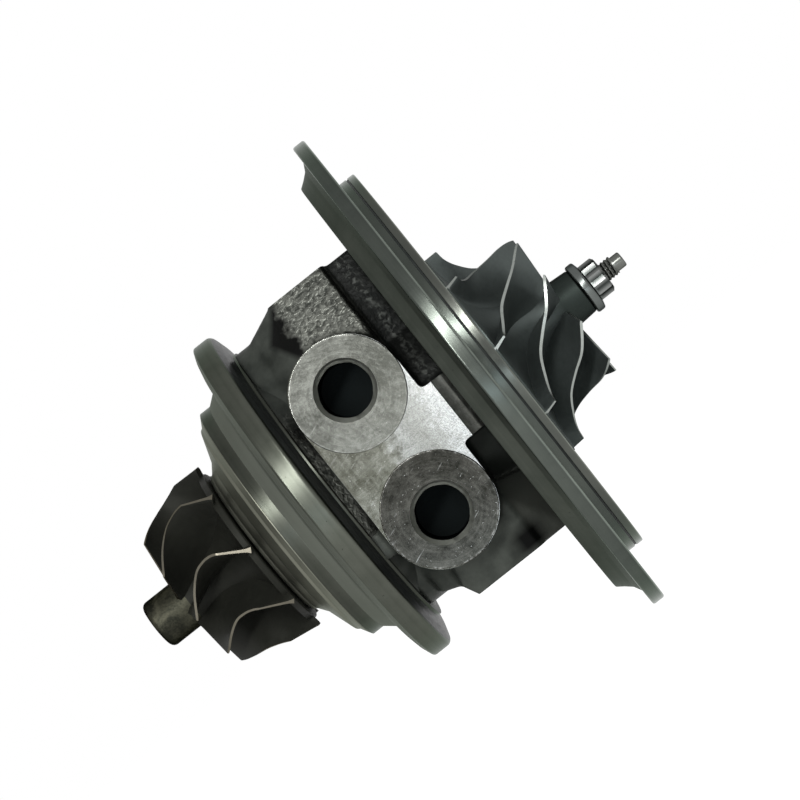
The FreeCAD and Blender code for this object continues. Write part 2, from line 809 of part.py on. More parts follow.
def rotor_shaft():
    thread_end = wheel_front + nut_flange_height + nut_height + thread_length
    shaft_end = thread_end + end_length
    groove = turbine_seal_x()
    hub_start = turbine_back + weld_boss_length
    half = ring_width / 2 + ring_side_clearance
    floor = hub_bore - ring_height - 0.2
    return turned([
        (hub_start, 0), (hub_start, hub_radius), (groove - half, hub_radius), (groove - half, floor),
        (groove + half, floor), (groove + half, hub_radius), (hub_end - 1.6, hub_radius, 0.3),
        (hub_end - 1.2, journal_radius + 1.2, 0.4), (hub_end, journal_radius + 1.2, 0.4),
        (hub_end + 0.6, journal_radius), (turbine_bush_end + 1, journal_radius),
        (turbine_bush_end + 2, relief_radius), (compressor_bush_start - 2, relief_radius),
        (compressor_bush_start - 1, journal_radius), (shoulder, journal_radius),
        (shoulder, stub_shaft_radius), (wheel_front, stub_shaft_radius), (wheel_front, thread_radius),
        (thread_end, thread_radius, 0.3), (thread_end, end_radius), (shaft_end, end_radius, 0.3),
        (shaft_end, 0)])


def turbine_seal_x():
    return turbine_back + weld_boss_length + hub_length / 2 - 0.4


def seal_ring(x, bore):
    half = ring_width / 2
    return split_ring(x - half, x + half, bore - ring_height, bore, ring_gap)


def compressor_seal_places():
    length = wheel_back - plate_back
    return [plate_back + 0.36 * length, plate_back + 0.70 * length]


def oil_flinger():
    """Sleeve between thrust bearing and compressor wheel, with two grooves for the seal rings."""
    back = thrust_front + thrust_play
    floor = seal_bore - ring_height - 0.2
    half = ring_width / 2 + ring_side_clearance
    points = [(back, stub_shaft_radius), (back, collar_radius), (back + 1.4, collar_radius, 0.3),
              (back + 1.8, collar_hub_radius + 0.4), (plate_back - 0.6, collar_hub_radius + 0.4),
              (plate_back - 0.2, seal_radius)]
    for x in compressor_seal_places():
        points += [(x - half, seal_radius), (x - half, floor), (x + half, floor), (x + half, seal_radius)]
    points += [(wheel_back, seal_radius), (wheel_back, stub_shaft_radius)]
    return turned(points)


def thrust_collar():
    face = thrust_seat - thrust_play
    end = thrust_front + thrust_play
    return turned([
        (shoulder, stub_shaft_radius), (shoulder, collar_radius, 0.3), (face, collar_radius),
        (face, collar_hub_radius), (end, collar_hub_radius), (end, stub_shaft_radius)])


def thrust_bearing():
    """Bronze plate with a flat at the drain side, its oil groove and the holes of its two pins."""
    plate = ring(thrust_seat, thrust_front, collar_hub_radius + collar_clearance, thrust_radius)
    flat = box(thrust_seat - past, thrust_front + past, -thrust_radius, thrust_radius,
               -thrust_radius - past, -thrust_flat_share * thrust_radius)
    hole_z = collar_radius + thrust_oil_hole_setback
    middle = thrust_seat + thrust_thickness / 2
    oil_hole = rod(V(thrust_seat - past, 0, hole_z), V(middle, 0, hole_z), oil_drilling_radius)
    oil_way = rod(V(middle, 0, 0), V(middle, 0, hole_z), thrust_oil_way_radius)
    return plate.cut([flat, oil_hole, oil_way] + thrust_pins())


def oil_deflector():
    """Thin disc clamped under the back plate, with a tongue that leads oil down to the drain."""
    back = plate_back - deflector_thickness
    hole = collar_radius + deflector_hole_clearance
    sheet = ring(back, plate_back, hole, cavity_radius + deflector_overlap - deflector_fit)
    top = -hole - past
    foot = deflector_foot_setback - cavity_radius
    tongue = section_prism(back - deflector_thickness, back, [
        (-deflector_tongue, top), (deflector_tongue, top), (deflector_tongue - 1, foot, 2),
        (-deflector_tongue + 1, foot, 2)])
    return sheet.fuse(tongue)


def compressor_nut():
    """Twelve-point nut with a round flange."""
    flange_end = wheel_front + nut_flange_height
    top = flange_end + nut_height
    corner = nut_width / 2 / cos(pi / 6)
    flange = turned([
        (wheel_front, thread_radius), (wheel_front, nut_flange_radius, 0.3),
        (flange_end - 0.8, nut_flange_radius, 0.3), (flange_end, corner), (flange_end, thread_radius)])
    stars = []
    for i in range(nut_points // 6):
        points = [polar(flange_end - 0.2, corner, 60 * k + 30 * i) for k in range(7)]
        stars.append(Part.Face(Part.makePolygon(points)).extrude(V(nut_height + 0.2, 0, 0)))
    grip = stars[0].fuse(stars[1:])
    cap = turned([
        (wheel_front, 0), (wheel_front, nut_flange_radius), (flange_end, nut_flange_radius),
        (top - 0.5, corner), (top, corner - 0.7), (top, 0)])
    grip = grip.common(cap).cut(disc(wheel_front, top + 1, thread_radius))
    return flange.fuse(grip)


def bush(start):
    """Floating bush with a ring of oil holes."""
    sleeve = turned([
        (start, bush_inner_radius, 0.3), (start, bush_outer_radius, 0.4),
        (start + bush_length, bush_outer_radius, 0.4), (start + bush_length, bush_inner_radius, 0.3)])
    middle = start + bush_length / 2
    hole = rod(V(middle, 0, 0), V(middle, 0, bush_outer_radius + 1), bush_hole_radius)
    return sleeve.cut(around(hole, bush_hole_count))


def snap_rings(seats):
    outer = bush_bore + snap_ring_depth
    rings = [split_ring(start, end, outer - snap_ring_height, outer, snap_ring_gap) for start, end in seats]
    return Part.makeCompound(rings)


def save(name, shape):
    """Write one sub-part, as a single solid or as a group of solids."""
    solids = shape.Solids
    whole = solids[0] if len(solids) == 1 else Part.makeCompound(solids)
    print(name, len(solids), round(whole.Volume, 2), whole.isValid())
    whole.exportStep("parts/" + name + ".step")


os.makedirs("parts", exist_ok=True)
save("bearing_housing", bearing_housing())
save("back_plate", back_plate())
save("back_plate_gasket", back_plate_gasket())
save("back_plate_o_ring", back_plate_o_ring())
save("back_plate_screws", Part.makeCompound(plate_screws()))
save("heat_shield", heat_shield())
save("turbine_wheel", turbine_wheel())
save("rotor_shaft", rotor_shaft())
save("compressor_wheel", compressor_wheel())
save("compressor_nut", compressor_nut())
save("thrust_collar", thrust_collar())
save("oil_flinger", oil_flinger())
save("thrust_bearing", thrust_bearing())
save("thrust_bearing_pins", Part.makeCompound(thrust_pins()))
save("oil_deflector", oil_deflector())
save("turbine_bearing", bush(turbine_bush_start))
save("compressor_bearing", bush(compressor_bush_start))
save("turbine_bearing_circlips", snap_rings(ring_seats()[:2]))
save("compressor_bearing_circlips", snap_rings(ring_seats()[2:]))
save("turbine_seal_ring", seal_ring(turbine_seal_x(), hub_bore))
save("compressor_seal_rings",
     Part.makeCompound([seal_ring(x, seal_bore) for x in compressor_seal_places()]))
save("coolant_core_plug", coolant_core_plug())
save("oil_gallery_plug", oil_gallery_plug())
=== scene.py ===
import json
from math import atan2, cos, pi, radians, sin, sqrt, tan

import bmesh
import bpy
from mathutils import Matrix, Vector

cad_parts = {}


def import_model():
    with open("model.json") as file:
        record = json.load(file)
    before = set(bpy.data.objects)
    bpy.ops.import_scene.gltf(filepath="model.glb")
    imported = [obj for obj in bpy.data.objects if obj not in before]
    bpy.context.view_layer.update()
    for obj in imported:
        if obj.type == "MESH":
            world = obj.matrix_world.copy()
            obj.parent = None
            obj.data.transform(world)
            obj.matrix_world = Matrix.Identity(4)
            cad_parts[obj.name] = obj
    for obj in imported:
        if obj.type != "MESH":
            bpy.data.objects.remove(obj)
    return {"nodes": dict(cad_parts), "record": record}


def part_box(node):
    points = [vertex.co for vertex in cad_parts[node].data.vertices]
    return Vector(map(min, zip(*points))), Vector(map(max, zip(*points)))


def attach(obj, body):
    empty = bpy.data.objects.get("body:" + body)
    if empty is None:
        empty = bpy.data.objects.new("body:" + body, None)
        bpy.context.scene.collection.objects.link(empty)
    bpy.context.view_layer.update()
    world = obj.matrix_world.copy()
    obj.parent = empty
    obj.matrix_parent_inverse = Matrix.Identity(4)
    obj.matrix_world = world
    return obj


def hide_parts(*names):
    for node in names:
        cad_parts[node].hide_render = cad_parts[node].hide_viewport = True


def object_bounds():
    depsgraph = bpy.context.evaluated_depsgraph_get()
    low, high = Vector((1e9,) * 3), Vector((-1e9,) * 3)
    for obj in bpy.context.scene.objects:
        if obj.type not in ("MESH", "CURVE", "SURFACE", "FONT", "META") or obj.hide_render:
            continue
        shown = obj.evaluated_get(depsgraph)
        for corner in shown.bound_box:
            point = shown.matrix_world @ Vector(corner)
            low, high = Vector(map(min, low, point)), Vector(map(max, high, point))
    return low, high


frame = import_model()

cad_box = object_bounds()
MM = 0.001
MOUNTS = {mount["name"]: mount for mount in frame["record"]["mounts"]}

# Sizes in millimetres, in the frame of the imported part: X is the shaft, -Y faces the camera, Z points up


def span(node):
    """First and last station of a node along the shaft."""
    low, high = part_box(node)
    return low.x / MM, high.x / MM


def place(mount):
    """Position of a mount."""
    return [value / MM for value in MOUNTS[mount]["pos_m"]]


def size_of(mount, key="r_mm"):
    """Radius of a mount, or another of its sizes."""
    return MOUNTS[mount]["dims"][key]


def reach(node):
    """How far a node reaches from the shaft, along Y or Z."""
    return max(abs(value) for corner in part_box(node) for value in corner.yz) / MM


# Compressor flange, back plate, gasket and screws
RIM_RADIUS = size_of("compressor_rim")
RIM_HALF = place("compressor_face")[0]
FLANGE_BACK = -5.1
HUB_RADIUS = 51.0
HUB_FLARE = 3.4
PLATE_RADIUS = size_of("compressor_register")
SPIGOT_FRONT, PLATE_SEAT = span("back_plate_gasket")
PLATE_BACK, PLATE_FRONT = span("back_plate")
PLATE_POCKET = 30.0
FLANGE_BORE = 20.0
SEAL_BORE = reach("compressor_seal_rings")
GASKET_INSET = 0.22
GASKET_HOLE = 2.6
SCREW_COUNT = 6
SCREW_FIRST = radians(30)
SCREW_CIRCLE = 37.5
SCREW_LENGTH = 7.0
SCREW_RADIUS = 2.0
SCREW_HEAD = 3.75
SCREW_CONE = 2.0
RECESS_RADIUS = 1.7
RECESS_DEPTH = 1.5

# Turbine flange and heat shield
V_RIM_RADIUS = size_of("turbine_clamp_rim")
V_RIM_FACE = place("turbine_face")[0]
V_RIM_BACK = -38.0
V_BASE_RADIUS = 33.0
V_FOOT = 3.0
CONE_RADIUS = 30.0
REGISTER_RADIUS = size_of("turbine_register")
SHIELD_FRONT, REGISTER_END = span("heat_shield")
REGISTER_BACK = REGISTER_END + 2.8
COLLAR_RADIUS = 11.5
COLLAR_END = SHIELD_FRONT + 0.4
SHAFT_BORE = reach("turbine_seal_ring")
SHIELD_SHEET = 0.8
SHIELD_SEAT = 25.2
SHIELD_RIM = reach("heat_shield")
SHIELD_CUP = 16.7

# Coolant ports, with the web and the rib beside their bosses
BOSS_PLANE = -place("coolant_boss_face")[1]
PAD_PLANE = BOSS_PLANE - 0.4
BOSS_RADIUS = 11.4
BOSS_X = place("upper_coolant_port")[0]
BOSS_HEIGHTS = (12.2, -15.8)
PORT_HEIGHTS = (place("upper_coolant_port")[2], place("lower_coolant_port")[2])
PORT_RADIUS = size_of("upper_coolant_port")
PORT_MOUTH = 6.2
PORT_DEPTH = 14.0
PORT_CUT = BOSS_PLANE - PORT_DEPTH - 0.3
THREAD_PITCH = 1.5
THREAD_DEPTH = 0.7
THREAD_RUNOUT = 2.0
WEB_Z = -2.2
WEB_HALF = 6.4
RIB_Z = -14.7
RIB_HALF = 2.75

# Cast body, with the blocks of the oil inlet and the oil drain
BODY_START = -35.6
BODY_END = -11.2
BODY_FRONT = 26.0
BODY_BACK = 25.0
BODY_TOP = 32.1
BODY_FLOOR = 30.0
NECK_RADIUS = 24.0
NECK_END = FLANGE_BACK + 0.6
INLET_X = place("oil_inlet")[0]
INLET_RADIUS = size_of("oil_inlet")
INLET_TOP = 35.1
INLET_FOOT = 15.0
INLET_FRONT = 28.2
INLET_BACK = 14.0
INLET_RIDGE = -24.0
SHOULDER_END = -33.0
SHOULDER_FOOT = 12.0
DRAIN_X = place("oil_drain")[0]
DRAIN_RADIUS = size_of("oil_drain")
DRAIN_FACE = -place("oil_drain_face")[2]
DRAIN_ROOT = -18.0
DRAIN_HALF = 21.5
DRAIN_RIDGE = -25.9
DRAIN_FOOT = -28.1
DRAIN_TOE = -32.2
TOE_ROOT = -15.0
DRAIN_BOLT_Y = size_of("oil_drain_bolts", "spacing_y_mm") / 2
DRAIN_BOLT_RADIUS = size_of("oil_drain_bolts", "hole_r_mm")
PLUG_X = -24.0
PLUG_Z = -1.8
PLUG_RADIUS = 7.5
PLUG_FLOOR = -19.0
PLUG_MOUTH = -28.0
GALLERY_Z = 16.5
GALLERY_RADIUS = 2.0
BLOCK_ROOT = 10.0
STEP_WIDTH = 3.2
PROUD = 1.2
CAST_GRAIN = 0.5

# Point where the two slanted edges of the casting's painted shade band meet
SHADE_WEDGE_X = -28.6
SHADE_WEDGE_Z = 28.8

# Where else the skin of the casting changes, each from a start to an end: the pebbled grain, the end of the
# painted shade band, the neck's painted shade, the hollow's painted shade and the web's painted highlight
PEBBLES_FOOT = (11.0, 13.0)
GROOVE_TOP = (18.0, 13.0)
SHADE_END = (-22.5, -20.0)
NECK_UPPER = (-6.0, 2.0)
NECK_LOWER = (-15.0, -25.0)
SHADED_HOLLOW_X = ((-17.5, -13.5), (-7.0, -10.5))
SHADED_HOLLOW_Z = ((-27.0, -30.0), (-34.4, -32.4))
WEB_HIGHLIGHT = (BOSS_X - 1.0, FLANGE_BACK - 3.5)

# Shaft and nut
SHAFT_FRONT = span("rotor_shaft")[1]
SHAFT_HUB = reach("rotor_shaft")
SHAFT_HUB_END = -48.5
SHAFT_STEP = 5.2
SHAFT_STEP_END = -46.9
JOURNAL = 4.0
STUD = 2.5
STUD_THREAD = 2.25
STUD_PITCH = 0.8
SHAFT_STUB = 1.65
RING_GROOVE = 6.5
NUT_BACK, NUT_FRONT = span("compressor_nut")
NUT_TOP = NUT_FRONT - 0.4
NUT_FLANGE = NUT_BACK + 2.2
NUT_FLANGE_RADIUS = 5.65
NUT_WIDTH = 7.3
NUT_POINTS = 12
GRIP_ANGLE = radians(15)

# Wheels
BLADE_COUNT = 9
HUB_STEPS = 40
BLADE_SINK = 0.5
WHEEL_BACK, WHEEL_FRONT = span("compressor_wheel")
COMPRESSOR_TIP = reach("compressor_wheel")
COMPRESSOR_BACK = PLATE_FRONT + 0.15
COMPRESSOR_DISC = COMPRESSOR_BACK + 0.4
COMPRESSOR_HUB = 13.4
COMPRESSOR_DROP = 18.6
COMPRESSOR_EYE = 5.0
COMPRESSOR_TIP_WIDTH = 2.65
COMPRESSOR_INLET = WHEEL_BACK + 16.2
SHROUD_LENGTH = 6.8
SHROUD_DROP = 7.2
COMPRESSOR_TURN = radians(-4.2)
TURBINE_NOSE, TURBINE_BACK = span("turbine_wheel")
TURBINE_TIP = reach("turbine_wheel")
TURBINE_DISC = TURBINE_BACK - 1.2
TURBINE_DISC_RADIUS = 18.2
TURBINE_DISC_EDGE = 1.4
TURBINE_HUB = 16.49
TURBINE_NOSE_RADIUS = 5.3
TURBINE_TIP_END = TURBINE_DISC - 6.4
TURBINE_EXIT = TURBINE_DISC - 17.6
TURBINE_EXIT_RADIUS = 15.8

# Blade stations: share along the hub curve and its angle, share along the outer curve and its angle
COMPRESSOR_BLADE = [(0.0, 41.2, 0.0, 38.6), (0.12, 39.4, 0.2, 36.7), (0.3, 36.0, 0.42, 31.0),
                    (0.5, 27.0, 0.68, 19.5), (0.7, 14.5, 1.0, 8.5)]
TURBINE_BLADE = [(0.1, -3.5, 0.1, -12.8), (0.28, -8.0, 0.26, -13.2), (0.5, -12.0, 0.48, -10.8),
                 (0.78, -9.0, 0.75, -0.8)]


# Meshes

# In metres
MERGE_DISTANCE = 1e-7

# Segments round a turned piece
LARGE_RING = 320
MEDIUM_RING = 256
SMALL_RING = 96
TINY_RING = 48


def rounded(points, steps=5):
    """Outline through (x, y) or (x, y, radius) points, with an arc at each point that has a radius."""
    corners = [(Vector(p[:2]), p[2] if len(p) > 2 else 0) for p in points]
    count = len(corners)
    path = []
    for i, (corner, radius) in enumerate(corners):
        before = corners[i - 1][0] - corner
        after = corners[(i + 1) % count][0] - corner
        half = before.angle(after) / 2
        cut = min(radius / tan(half), 0.49 * before.length, 0.49 * after.length) if radius else 0
        if not cut:
            path.append(corner)
            continue
        start = corner + before.normalized() * cut
        end = corner + after.normalized() * cut
        towards = (before.normalized() + after.normalized()).normalized()
        centre = corner + towards * (cut / cos(half))
        first = start - centre
        last = end - centre
        turn = atan2(first.x * last.y - first.y * last.x, first.dot(last))
        for k in range(steps + 1):
            path.append(centre + Matrix.Rotation(turn * k / steps, 2) @ first)
    return path


def add_object(name, data):
    """Object at the origin that shows some data."""
    obj = bpy.data.objects.new(name, data)
    bpy.context.scene.collection.objects.link(obj)
    return obj


def finish_mesh(name, bm):
    """Object from a bmesh, which is used up."""
    mesh = bpy.data.meshes.new(name)
    bm.to_mesh(mesh)
    bm.free()
    return add_object(name, mesh)


def tidy(obj):
    """Merge doubled points and turn the faces outwards."""
    bm = bmesh.new()
    bm.from_mesh(obj.data)
    bmesh.ops.remove_doubles(bm, verts=bm.verts, dist=MERGE_DISTANCE)
    bmesh.ops.recalc_face_normals(bm, faces=bm.faces)
    bm.to_mesh(obj.data)
    bm.free()
    return obj


def mesh_object(name, vertices, faces):
    """Object at the origin from vertices in millimetres, with its faces turned outwards."""
    mesh = bpy.data.meshes.new(name)
    mesh.from_pydata([Vector(v) * MM for v in vertices], [], faces)
    return tidy(add_object(name, mesh))


def bake_modifiers(obj):
    """Replace the mesh by its evaluated form and drop the modifiers."""
    graph = bpy.context.evaluated_depsgraph_get()
    made = bpy.data.meshes.new_from_object(obj.evaluated_get(graph), preserve_all_data_layers=True,
                                           depsgraph=graph)
    obj.modifiers.clear()
    obj.data = made
    return obj


def smooth(obj, angle=30):
    """Smooth shading with sharp edges, and normals weighted by area so that flat faces stay flat."""
    obj.data.shade_smooth()
    obj.data.set_sharp_from_angle(angle=radians(angle))
    modifier = obj.modifiers.new("weighted", "WEIGHTED_NORMAL")
    modifier.keep_sharp = True
    return bake_modifiers(obj)


def turned(name, points, segments=192, centre=None, axis="Y", shape=None):
    """Closed solid turned about the shaft, or about a line through a centre, along -Y or upwards.

    A shape turns (station, radius, angle) into the radius there, for threads and lobes."""
    path = rounded(points)
    vertices = []
    for s in range(segments):
        a = 2 * pi * s / segments
        for along, radius in path:
            r = shape(along, radius, a) if shape else radius
            if not centre:
                vertices.append((along, -r * cos(a), -r * sin(a)))
            elif axis == "Y":
                vertices.append((centre[0] + r * cos(a), -along, centre[1] + r * sin(a)))
            else:
                vertices.append((centre[0] + r * cos(a), centre[1] + r * sin(a), along))
    count = len(path)
    faces = []
    for s in range(segments):
        t = (s + 1) % segments
        for k in range(count):
            n = (k + 1) % count
            faces.append((s * count + k, s * count + n, t * count + n, t * count + k))
    return mesh_object(name, vertices, faces)


def prism(name, points, low, high, plane="yz", steps=5):
    """Block with a rounded outline in a plane, stretched across it from low to high."""
    path = rounded(points, steps)
    order = {"yz": (2, 0, 1), "xz": (0, 2, 1), "xy": (0, 1, 2)}[plane]
    ends = [[(p.x, p.y, level) for p in path] for level in (low, high)]
    vertices = [tuple(p[i] for i in order) for p in ends[0] + ends[1]]
    count = len(path)
    faces = [(k, (k + 1) % count, count + (k + 1) % count, count + k) for k in range(count)]
    faces.append(tuple(range(count)))
    faces.append(tuple(range(2 * count - 1, count - 1, -1)))
    return mesh_object(name, vertices, faces)


def bore(name, low, high, radius, centre, axis="Y", segments=SMALL_RING):
    """Plain cylinder between two stations along -Y or upwards."""
    return turned(name, [(low, 0), (low, radius), (high, radius), (high, 0)], segments, centre, axis)


def hull(name, sections):
    """Convex block through the (y, z) corners of its sections, each at a station along the shaft."""
    bm = bmesh.new()
    for x, corners in sections:
        for y, z in corners:
            bm.verts.new(Vector((x, y, z)) * MM)
    bmesh.ops.convex_hull(bm, input=bm.verts)
    return tidy(finish_mesh(name, bm))


def block(name, low, high):
    """Plain block between two corners."""
    corners = [(y, z) for y in (low[1], high[1]) for z in (low[2], high[2])]
    return hull(name, [(low[0], corners), (high[0], corners)])


def cut_flat(obj, point, normal):
    """Cut off what lies beyond a plane and close the cut with flat faces."""
    bm = bmesh.new()
    bm.from_mesh(obj.data)
    everything = bm.verts[:] + bm.edges[:] + bm.faces[:]
    cut = bmesh.ops.bisect_plane(bm, geom=everything, plane_co=Vector(point) * MM, plane_no=normal,
                                 clear_outer=True)
    rim = [part for part in cut["geom_cut"] if isinstance(part, bmesh.types.BMEdge)]
    bmesh.ops.holes_fill(bm, edges=rim, sides=0)
    bmesh.ops.recalc_face_normals(bm, faces=bm.faces)
    bm.to_mesh(obj.data)
    bm.free()


def join(name, objects):
    """Several meshes as one object."""
    bm = bmesh.new()
    for obj in objects:
        bm.from_mesh(obj.data)
        bpy.data.objects.remove(obj)
    return finish_mesh(name, bm)


def carve(obj, tool):
    """Cut a tool's space out of a piece. The tool is removed."""
    modifier = obj.modifiers.new("carve", "BOOLEAN")
    modifier.operation = "DIFFERENCE"
    modifier.solver = "EXACT"
    modifier.object = tool
    bake_modifiers(obj)
    bpy.data.objects.remove(tool)
    return obj


def polar(x, radius, angle):
    """Point at an angle counted from -Y towards -Z."""
    a = radians(angle)
    return Vector((x, -radius * cos(a), -radius * sin(a)))


def between(rows, steps):
    """Rows of numbers that run smoothly through the given ones, in steps from each to the next."""
    made = []
    last = len(rows) - 1
    for i in range(last):
        a, b, c, d = [rows[min(max(i + k, 0), last)] for k in (-1, 0, 1, 2)]
        for s in range(steps):
            t = s / steps
            made.append([0.5 * (2 * q + (r - p) * t + (2 * p - 5 * q + 4 * r - w) * t * t
                                + (3 * q - p - 3 * r + w) * t ** 3) for p, q, r, w in zip(a, b, c, d)])
    made.append(list(rows[last]))
    return made


# Face attribute that marks the ground edges of a blade
GROUND_EDGE = "ground_edge"

# Steps from station to station and along the span, how fast the root's fillet fades, and the thinner ends
BLADE_STEPS = 6
SPAN_STEPS = 10
FILLET_SHARE = 3.2
END_TAPER = 0.72


def blade(name, stations, root, tip, fillet):
    """Blade through stations of (hub x, radius, angle, tip x, radius, angle), with a filleted root."""
    rows = between(stations, BLADE_STEPS)
    hubs = [polar(*row[:3]) for row in rows]
    tips = [polar(*row[3:]) for row in rows]
    last = len(rows) - 1
    vertices = []
    for i in range(last + 1):
        ahead = min(i + 1, last)
        behind = max(i - 1, 0)
        along = hubs[ahead] + tips[ahead] - hubs[behind] - tips[behind]
        side = (tips[i] - hubs[i]).cross(along).normalized()
        sides = []
        for k in range(SPAN_STEPS + 1):
            share = k / SPAN_STEPS
            half = (root + (tip - root) * share) / 2 + fillet * max(0, 1 - share * FILLET_SHARE) ** 3
            if i in (0, last):
                half *= END_TAPER
            middle = hubs[i].lerp(tips[i], share)
            sides.append((middle - side * half, middle + side * half))
        vertices += [low for low, high in sides] + [high for low, high in reversed(sides)]
    count = 2 * (SPAN_STEPS + 1)
    faces = []
    edge_faces = []
    for i in range(last):
        for k in range(count):
            n = (k + 1) % count
            edge_faces.append(k == SPAN_STEPS)
            faces.append((i * count + k, i * count + n, (i + 1) * count + n, (i + 1) * count + k))
    for i in (0, last):
        start = i * count
        end = start + count - 1
        for k in range(SPAN_STEPS):
            edge_faces.append(True)
            faces.append((start + k, start + k + 1, end - 1 - k, end - k))
    obj = mesh_object(name, vertices, faces)
    mark = obj.data.attributes.new(GROUND_EDGE, "BOOLEAN", "FACE")
    mark.data.foreach_set("value", edge_faces)
    return obj


def paint(obj, materials, rule):
    """Give an object several materials. The rule picks one by a face's centre and normal, in millimetres."""
    obj.data.materials.clear()
    for material in materials:
        obj.data.materials.append(material)
    for face in obj.data.polygons:
        face.material_index = rule(face.center / MM, face.normal)
    return obj


def dress(obj, material):
    """Give an object its only material."""
    return paint(obj, [material], lambda centre, normal: 0)


# Materials


class Value:
    """Number or colour that flows through a node tree, with ordinary arithmetic."""

    def __init__(self, tree, socket):
        self.tree = tree
        self.socket = socket

    def math(self, operation, *values):
        """Maths node on the given values in their order, or on this value alone."""
        return self.tree.node("ShaderNodeMath", {"operation": operation}, values or (self,))

    def largest(self, other):
        """The larger of two values."""
        return self.math("MAXIMUM", self, other)

    def siblings(self, *names):
        """Outputs of the node that this value comes from."""
        return [Value(self.tree, self.socket.node.outputs[name]) for name in names]

    def __add__(self, other):
        return self.math("ADD", self, other)

    __radd__ = __add__

    def __sub__(self, other):
        return self.math("SUBTRACT", self, other)

    def __rsub__(self, other):
        return self.math("SUBTRACT", other, self)

    def __mul__(self, other):
        return self.math("MULTIPLY", self, other)

    __rmul__ = __mul__

    def __truediv__(self, other):
        return self.math("DIVIDE", self, other)

    def __pow__(self, other):
        return self.math("POWER", self, other)


class Tree:
    """A node tree that is built node by node."""

    def __init__(self, tree):
        self.tree = tree
        self.tree.nodes.clear()

    def node(self, kind, settings=None, inputs=(), output=0):
        """Add a node: its settings first, then the values or links of its sockets, by order or by name."""
        made = self.tree.nodes.new(kind)
        for key, value in (settings or {}).items():
            if key == "stops":
                self.set_stops(made.color_ramp, value)
            else:
                setattr(made, key, value)
        pairs = inputs.items() if isinstance(inputs, dict) else enumerate(inputs)
        for key, value in pairs:
            socket = made.inputs[key]
            if isinstance(value, Value):
                self.tree.links.new(value.socket, socket)
            else:
                socket.default_value = (*value, 1) if socket.type == "RGBA" else value
        return Value(self, made.outputs[output]) if made.outputs else None

    def seen(self):
        """One for rays from the camera, in reflections and through glass, and zero for all others."""
        camera_ray, glossy, transmission = self.node("ShaderNodeLightPath").siblings(
            "Is Camera Ray", "Is Glossy Ray", "Is Transmission Ray")
        return camera_ray.largest(glossy).largest(transmission)

    @staticmethod
    def set_stops(ramp, stops):
        """Give a ramp its (position, grey value) stops."""
        while len(ramp.elements) < len(stops):
            ramp.elements.new(0.5)
        for element, (position, value) in zip(ramp.elements, stops):
            element.position = position
            element.color = (value, value, value, 1)


class Pattern(Tree):
    """Geometry Nodes tree with named inputs for its sizes."""

    def __init__(self, name, **sizes):
        super().__init__(bpy.data.node_groups.new(name, "GeometryNodeTree"))
        face = self.tree.interface
        face.new_socket("Geometry", in_out="INPUT", socket_type="NodeSocketGeometry")
        self.keys = {}
        for key, value in sizes.items():
            kind = "NodeSocketInt" if isinstance(value, int) else "NodeSocketFloat"
            self.keys[face.new_socket(key, in_out="INPUT", socket_type=kind).identifier] = value
        face.new_socket("Geometry", in_out="OUTPUT", socket_type="NodeSocketGeometry")
        self.group = self.node("NodeGroupInput")

    def given(self, name):
        """Value of a named input."""
        return self.group.siblings(name)[0]

    def apply(self, obj, geometry):
        """End the tree with its geometry, run it on an object and keep the result as a plain mesh."""
        self.node("NodeGroupOutput", inputs=(geometry,))
        modifier = obj.modifiers.new("pattern", "NODES")
        modifier.node_group = self.tree
        for key, value in self.keys.items():
            modifier[key] = value
        return bake_modifiers(obj)


def repeat_round(obj, copies, first_angle, material, edge_material=None):
    """Copies of a piece, evenly spaced round the shaft.

    Faces marked as ground edges get the second material."""
    pattern = Pattern(obj.name + "_round", Copies=copies, First_Angle=first_angle)
    count = pattern.given("Copies")
    points = pattern.node("GeometryNodePoints", inputs={"Count": count})
    index = pattern.node("GeometryNodeInputIndex")
    angle = index * (2 * pi) / count + pattern.given("First_Angle")
    turn = pattern.node("FunctionNodeEulerToRotation", inputs=(
        pattern.node("ShaderNodeCombineXYZ", inputs=(angle, 0.0, 0.0)),))
    copied = pattern.node("GeometryNodeInstanceOnPoints", inputs={
        "Points": points, "Instance": pattern.given("Geometry"), "Rotation": turn})
    real = pattern.node("GeometryNodeRealizeInstances", inputs=(copied,))
    dressed = pattern.node("GeometryNodeSetMaterial", inputs={"Geometry": real, "Material": material})
    if edge_material:
        edges = pattern.node("GeometryNodeInputNamedAttribute", {"data_type": "BOOLEAN"},
                             {"Name": GROUND_EDGE})
        dressed = pattern.node("GeometryNodeSetMaterial", inputs={
            "Geometry": dressed, "Selection": edges, "Material": edge_material})
    return pattern.apply(obj, dressed)


BLACK = (0.0, 0.0, 0.0)
NICK_COLOR = (0.45, 0.45, 0.43)

# Tints of what a surface reflects at a grazing angle
GRAZING_TINT = (0.3, 0.3, 0.3)
TURNED_TINT = (0.57, 0.605, 0.57)


def times(tint, factor):
    """Colour made lighter or darker by a factor."""
    return tuple(c * factor for c in tint)


